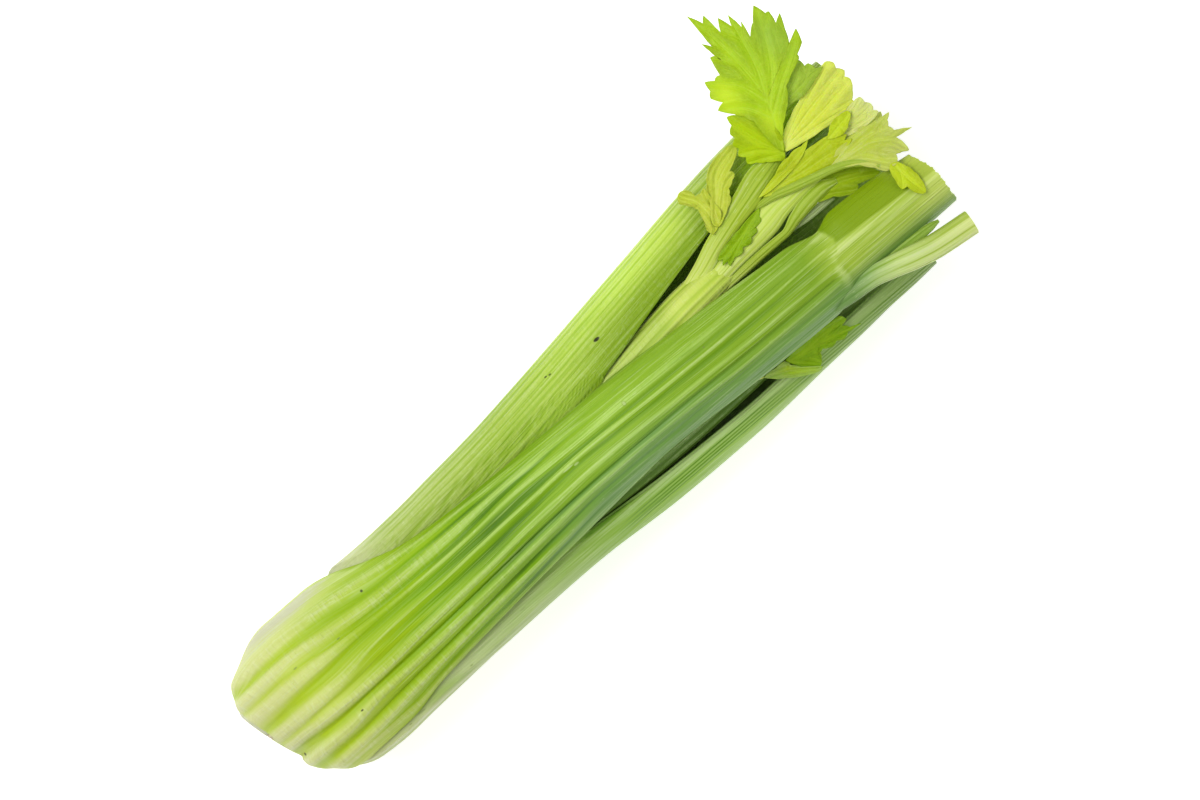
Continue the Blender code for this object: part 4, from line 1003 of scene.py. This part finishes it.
# The sheets that the leaves follow: a place, its height, its rise each way and how it sags
BIG, FAN = ((333, 50), 34.7, (0.05, 0.20), 0.0040), ((333, 47.5), 31.9, (0.08, -0.02), 0.0030)
INNER, END = ((310, 34), 32.5, (0.10, 0.02), 0.0015), ((358, 36), 33.0, (0.02, -0.02), 0.0020)
DROOPING, CURLING = ((346, 27), 36.2, (0.10, -0.72), 0.0127), ((287, 41), 30.2, (0, -0.03), 0.0010)
FOLDED, SMALL = ((296, 45), 30.6, (0, -0.08), 0.0015), ((300, 29.5), 29.9, (0.05, 0.02), 0.0010)
NARROW, SIDE = ((314, 20), 28.6, (0.03, -0.05), 0.0008), ((262, -23), 13.8, (0, 0.55), 0.0006)
for name, colours, lie, offset, centre, edge, main in (
    ("big_leaf", BRIGHT, BIG, 0, (336, 66), (
        (345, 64.5), (350, 67), (356.5, 69.8), (357.2, 71.6), (362, 74.2), (364, 80.4), (357.6, 77.2),
        (360.2, 83), (363, 89.7), (359, 87.6), (360, 93), (358.3, 93.6), (356.7, 99.3), (351.5, 93.6),
        (350.2, 93), (347, 90), (348.4, 97.5), (347, 95.5), (346, 103.2), (344, 98.5), (342, 105),
        (338.9, 99.5), (338.3, 109.7), (335.9, 107.3), (332.8, 114.2), (332.3, 97.2), (329.7, 101),
        (330.7, 93.5), (328.6, 94.2), (327, 86), (325.3, 86.4), (324, 85.6), (320.3, 88), (319.6, 83.5),
        (317.7, 81), (320.5, 76.6), (316.8, 75.3), (321, 69.8), (323.4, 66.4), (325.4, 62), (325, 57),
        (325.2, 52), (325.6, 47.6), (327, 44.2), (330.4, 49.4), (334, 53.4), (338.2, 56.6), (342, 60)), (
        ((327.2, 45), (332, 57), (335.6, 67), (336.2, 80), (335.4, 96), (333, 113)),
        ((335, 65), (341, 80), (345.5, 102)), ((334, 62), (345, 74), (352, 87), (356.5, 98)),
        ((333, 59), (346, 68), (355, 73), (363, 79.5)), ((334.6, 65), (331, 76), (320.7, 87.3)),
        ((332, 58), (327, 68), (317.6, 75)))),
    ("big_leaf_left_lobe", UNLIT, BIG, -1.0, (321, 55), (
        (327, 43.8), (329.5, 48), (330.5, 53), (330, 58), (328.5, 62.5), (325.5, 66.5), (321.5, 69),
        (318, 71), (317.2, 67), (314.4, 64.6), (315, 62), (312.4, 60.4), (313.6, 57.6), (311.4, 55.4),
        (313.4, 53), (312.2, 50.4), (315.4, 48.4), (318.6, 46), (322, 43.4), (325, 41.6)), (
        ((327, 44.5), (322, 54), (318, 69)), ((326.6, 44.5), (319, 52), (312, 56)),
        ((326, 44), (319.5, 47.6), (313, 50.6)))),
    ("big_leaf_right_lobe", MATT, BIG, -2.4, (348, 62), (
        (341, 58), (349, 57), (357, 59), (362.5, 61), (359.5, 62.3), (358.6, 66), (356.7, 66.2),
        (356.4, 69.6), (350, 67.5), (345, 65), (340, 62)), (
        ((339, 60), (348, 63), (356, 69)), ((342, 60), (352, 61), (358, 65)))),
    ("yellow_fan_leaf", YELLOW, FAN, 0, (346, 49), (
        (327.6, 43.8), (335, 42.2), (345, 41), (355, 40.2), (362.5, 39.6), (362.8, 42.5), (365.5, 45.4),
        (368, 49.4), (366.6, 52), (368.4, 54), (366.2, 57), (367, 59.6), (364.5, 62), (360, 61),
        (352, 58.6), (345, 56.2), (338, 53.4), (332, 50.5), (328.4, 47)), (
        ((328, 45), (345, 43.4), (362, 41)), ((328, 45.6), (346, 46.4), (367, 49.4)),
        ((329, 46), (345, 50.4), (367, 54.6)), ((330, 47), (345, 54), (365, 61)))),
    ("lime_leaf_upper_lobe", LIME, INNER, 0.6, (323, 38.3), (
        (306, 36.5), (312, 35.4), (322, 36), (330, 37.4), (334, 39.2), (337.5, 41.6), (333.6, 41.4),
        (330, 42.2), (326.6, 41.4), (323, 41.4), (318, 39.4), (312, 38.2)), (
        ((307, 36.6), (323, 38.5), (336.5, 41)),)),
    ("lime_leaf_lower_lobe", LIME, INNER, 0.2, (333, 32), (
        (308, 35.4), (313, 33), (320, 30.2), (330, 26.2), (335, 24.8), (341, 22.8), (346.8, 22.6),
        (349.5, 26), (347.6, 28.4), (352, 30), (349, 31.6), (351.5, 33), (348.5, 35), (346, 37.4),
        (339, 38.4), (331, 38.6), (322, 38.2), (314, 37)), (
        ((309, 35), (321, 31.6), (332, 28), (346, 23.4)), ((312, 35.4), (330, 32.4), (351, 30.4)),
        ((312, 35.8), (330, 35.4), (347, 36)))),
    ("lime_leaf_tip", TIP, INNER, 1.2, (351, 37.6), (
        (344, 36.5), (348, 34.4), (352, 34.2), (355, 36), (358, 38), (358, 40.2), (354, 41), (349.5, 40.6),
        (346.5, 38.6)), (
        ((344.5, 36.5), (351, 37.6), (357.5, 39)),)),
    ("wilted_leaf", PALE, DROOPING, 0, (355, 24), (
        (353, 10.5), (356, 10), (359.4, 10.4), (361, 13.4), (363.6, 12.4), (366.4, 11), (366.8, 15),
        (366, 18.6), (374.3, 17.4), (367.4, 21.4), (366.8, 24.2), (368.4, 26.6), (371.4, 28.4), (367.8, 29),
        (369, 31), (364.6, 31.6), (358, 32), (352, 33), (344, 31.4), (337, 29.4), (336, 27), (341, 23.4),
        (346.5, 20), (350.6, 14.6)), (
        ((341, 25), (350, 20), (356, 12)), ((340, 26), (355, 24), (366, 17)),
        ((340, 27.4), (355, 29), (370, 28.4)), ((342, 26), (356, 26), (367, 23)))),
    ("wilted_leaf_tip", TIP, DROOPING, 0.5, (357.6, 3.5), (
        (356.5, 11.4), (354.5, 10), (353.4, 5), (353, 0.6), (355.4, 0), (356, -3), (357.5, -5.6),
        (359.6, -7), (361.2, -5), (361.8, -1), (361.6, 3), (360.6, 7), (359, 10.4)), (
        ((357, 10.5), (357.6, 3), (359.4, -6.4)),)),
    ("pale_leaf_end", FADED, END, 0, (357, 36), (
        (346, 36.6), (347, 34.6), (350, 32.6), (357, 30.8), (364, 30.4), (368, 31.6), (366.6, 33.4),
        (367.6, 36), (366, 38.2), (365.8, 41.2), (362.6, 41.6), (358, 40.8), (352.6, 41), (349, 39.4)), (
        ((347, 36), (357, 35), (367, 35.8)), ((347, 37), (358, 38.6), (365.4, 40.6)),
        ((348, 35), (358, 33), (367, 32)))),
    ("curled_leaf", CURLED, CURLING, 0.6, (285.2, 50.5), (
        (282, 37), (287, 39), (290.5, 42), (291, 46), (291.4, 51), (291.5, 54.8), (289, 53.6),
        (286.6, 54.2), (286.4, 57), (284.4, 59.4), (281.6, 59.6), (279.4, 56.4), (281.4, 54), (283.2, 51.6),
        (284, 49.4), (283, 45), (281.2, 40)), (
        ((285, 38.6), (286.4, 46), (285.6, 52), (282, 58)), ((287.4, 40), (289.4, 46), (290.6, 53)))),
    ("folded_leaf", CURLED, FOLDED, 0, (296, 51), (
        (286, 38), (290, 39.6), (294, 41.8), (297, 43.4), (298, 45.6), (299.4, 47.6), (303, 49.4),
        (305.4, 50.8), (304.4, 53), (308, 54.6), (312, 57), (314, 60), (311, 61.4), (306, 61.2),
        (301, 60.6), (297, 58.6), (293.6, 55), (291, 51.5), (289.5, 48), (286.5, 44), (284.5, 40.5)), (
        ((286.5, 40), (293, 48), (300, 56), (312, 59.6)), ((287.5, 39.6), (294, 45), (300, 50), (305, 51)),
        ((292, 47), (300, 53.6), (311, 57.4)))),
    ("small_green_leaf", FRESH, SMALL, 0.4, (288, 27.8), (
        (304, 33.2), (299, 33), (292, 31.8), (286, 30.8), (280.4, 29.8), (276.4, 27.8), (278.6, 26.6),
        (276.8, 24.6), (279.6, 24.8), (279, 22.6), (283, 24), (286.4, 23.4), (288, 25.2), (291.6, 24.2),
        (293.4, 26), (296.6, 26.2), (297.4, 28), (301, 28.4), (301.6, 30.4)), (
        ((303, 32.6), (292, 29.4), (277.6, 26.4)), ((296, 30.6), (288, 27), (279.6, 23.4)))),
    ("narrow_leaf", OLIVE, NARROW, 0, (337, 18.6), (
        (324.4, 18.8), (331, 16.6), (335, 13.6), (338.4, 12), (341, 12.6), (341.6, 14.2), (345, 13),
        (350.5, 11.4), (353, 11), (351, 15), (348.6, 19.6), (344.6, 22.6), (338, 25), (331, 26),
        (326.6, 26), (322, 22)), (
        ((326, 22.5), (338, 19), (352, 11.8)), ((327, 24), (337, 22.4), (346, 18)),
        ((327, 20.4), (334, 16.4), (340, 12.6)))),
    ("right_leaf_fold", SIDE_FOLD, SIDE, 0.5, (270, -27), (
        (260, -22.5), (266, -22.8), (271, -23), (272, -26), (275, -29.6), (280, -33.4), (282.4, -35.6),
        (279, -36), (274, -33.5), (267, -29), (262, -25)), (
        ((260, -23), (270, -27.5), (281, -35)),)),
    ("right_leaf", DEEP, SIDE, 0, (287, -27), (
        (271.5, -23), (280, -22.4), (290, -22.6), (296, -22.8), (301, -23.4), (302.8, -26.5),
        (299.4, -27.2), (302, -30.2), (306.5, -32), (300, -31.2), (296.6, -32.4), (294, -30.6),
        (290.6, -31.6), (287, -29.5), (284, -30), (283.4, -33.6), (281, -35), (277, -31.5), (273.5, -27)), (
        ((271, -24), (285, -26.5), (306, -31.6)), ((272, -24), (276, -28), (281.5, -34)),
        ((280, -25.6), (290, -25), (302, -26)))),
):
    frilly = colours in (CURLED, PALE, FADED)
    blade = leaf(name, lie, centre, edge, main, offset, bulge=1.1 if lie is FAN else 0.7,
                 wave=0.9 if frilly else 0.6,
                 fold=0.26 if frilly or lie is SIDE else 0.25 if colours is YELLOW else 0.08, seed=len(name))
    slot = "inner_stalk" if lie is SIDE else "leafy_heart_stalk"
    spots = BIG_LEAF_LIGHTS if name == "big_leaf" else ()
    finish_piece(blade, leaf_finish(name + "_skin", *colours, 0.2 if colours is YELLOW else 0, spots), slot)

# ---- The floor, the lights and the camera ---------------------------------------------------------------
# A plain white floor under soft studio light, seen from straight above as in the photograph. The floor glows
# a little, so that the head's shadow stays faint.

bpy.ops.object.select_all(action="DESELECT")
bpy.ops.mesh.primitive_plane_add(size=6, location=(0, 0, -0.0002))
floor = bpy.context.object
floor.name = "floor"
f = Finish("floor_paint")
floor.data.materials.append(f.set(Base_Color=(0.90, 0.90, 0.90, 1), Roughness=0.8, Specular_IOR_Level=0.1,
                                  Emission_Color=(1, 1, 1, 1), Emission_Strength=0.5))

world = bpy.data.worlds.new("studio")
bpy.context.scene.world = world
world.use_nodes = True
world.node_tree.nodes["Background"].inputs["Color"].default_value = (1, 1, 1, 1)
world.node_tree.nodes["Background"].inputs["Strength"].default_value = 0.42
bpy.context.scene.view_settings.view_transform = "Standard"
for name, place, size, power in (
    ("key_light", (-0.5, 0.7, 1.6), 0.9, 22), ("fill_light", (0.9, -0.6, 1.4), 1.2, 7),
):
    light = bpy.data.lights.new(name, "AREA")
    light.energy, light.size = power, size
    holder = bpy.data.objects.new(name, light)
    bpy.context.scene.collection.objects.link(holder)
    holder.location = place
    holder.rotation_mode = "QUATERNION"
    holder.rotation_quaternion = (Vector(place) - Vector((0, 0, 0.05))).to_track_quat("Z", "Y")

# The middle of the picture on the head, its slant, and how wide the view is at what height
PICTURE_MIDDLE, PICTURE_TURN, VIEW_WIDTH, VIEW_HEIGHT = (0.2008, 0.0151), -40.4, 0.511, 0.050
camera = bpy.data.cameras.new("photo_camera")
camera.lens, camera.sensor_width = 120, 36
eye = bpy.data.objects.new("photo_camera", camera)
bpy.context.scene.collection.objects.link(eye)
eye.location = (PICTURE_MIDDLE[0] - ORIGIN[0], PICTURE_MIDDLE[1] - ORIGIN[1],
                VIEW_HEIGHT + VIEW_WIDTH * camera.lens / camera.sensor_width)
eye.rotation_euler = (0, 0, math.radians(PICTURE_TURN))
bpy.context.scene.camera = eye
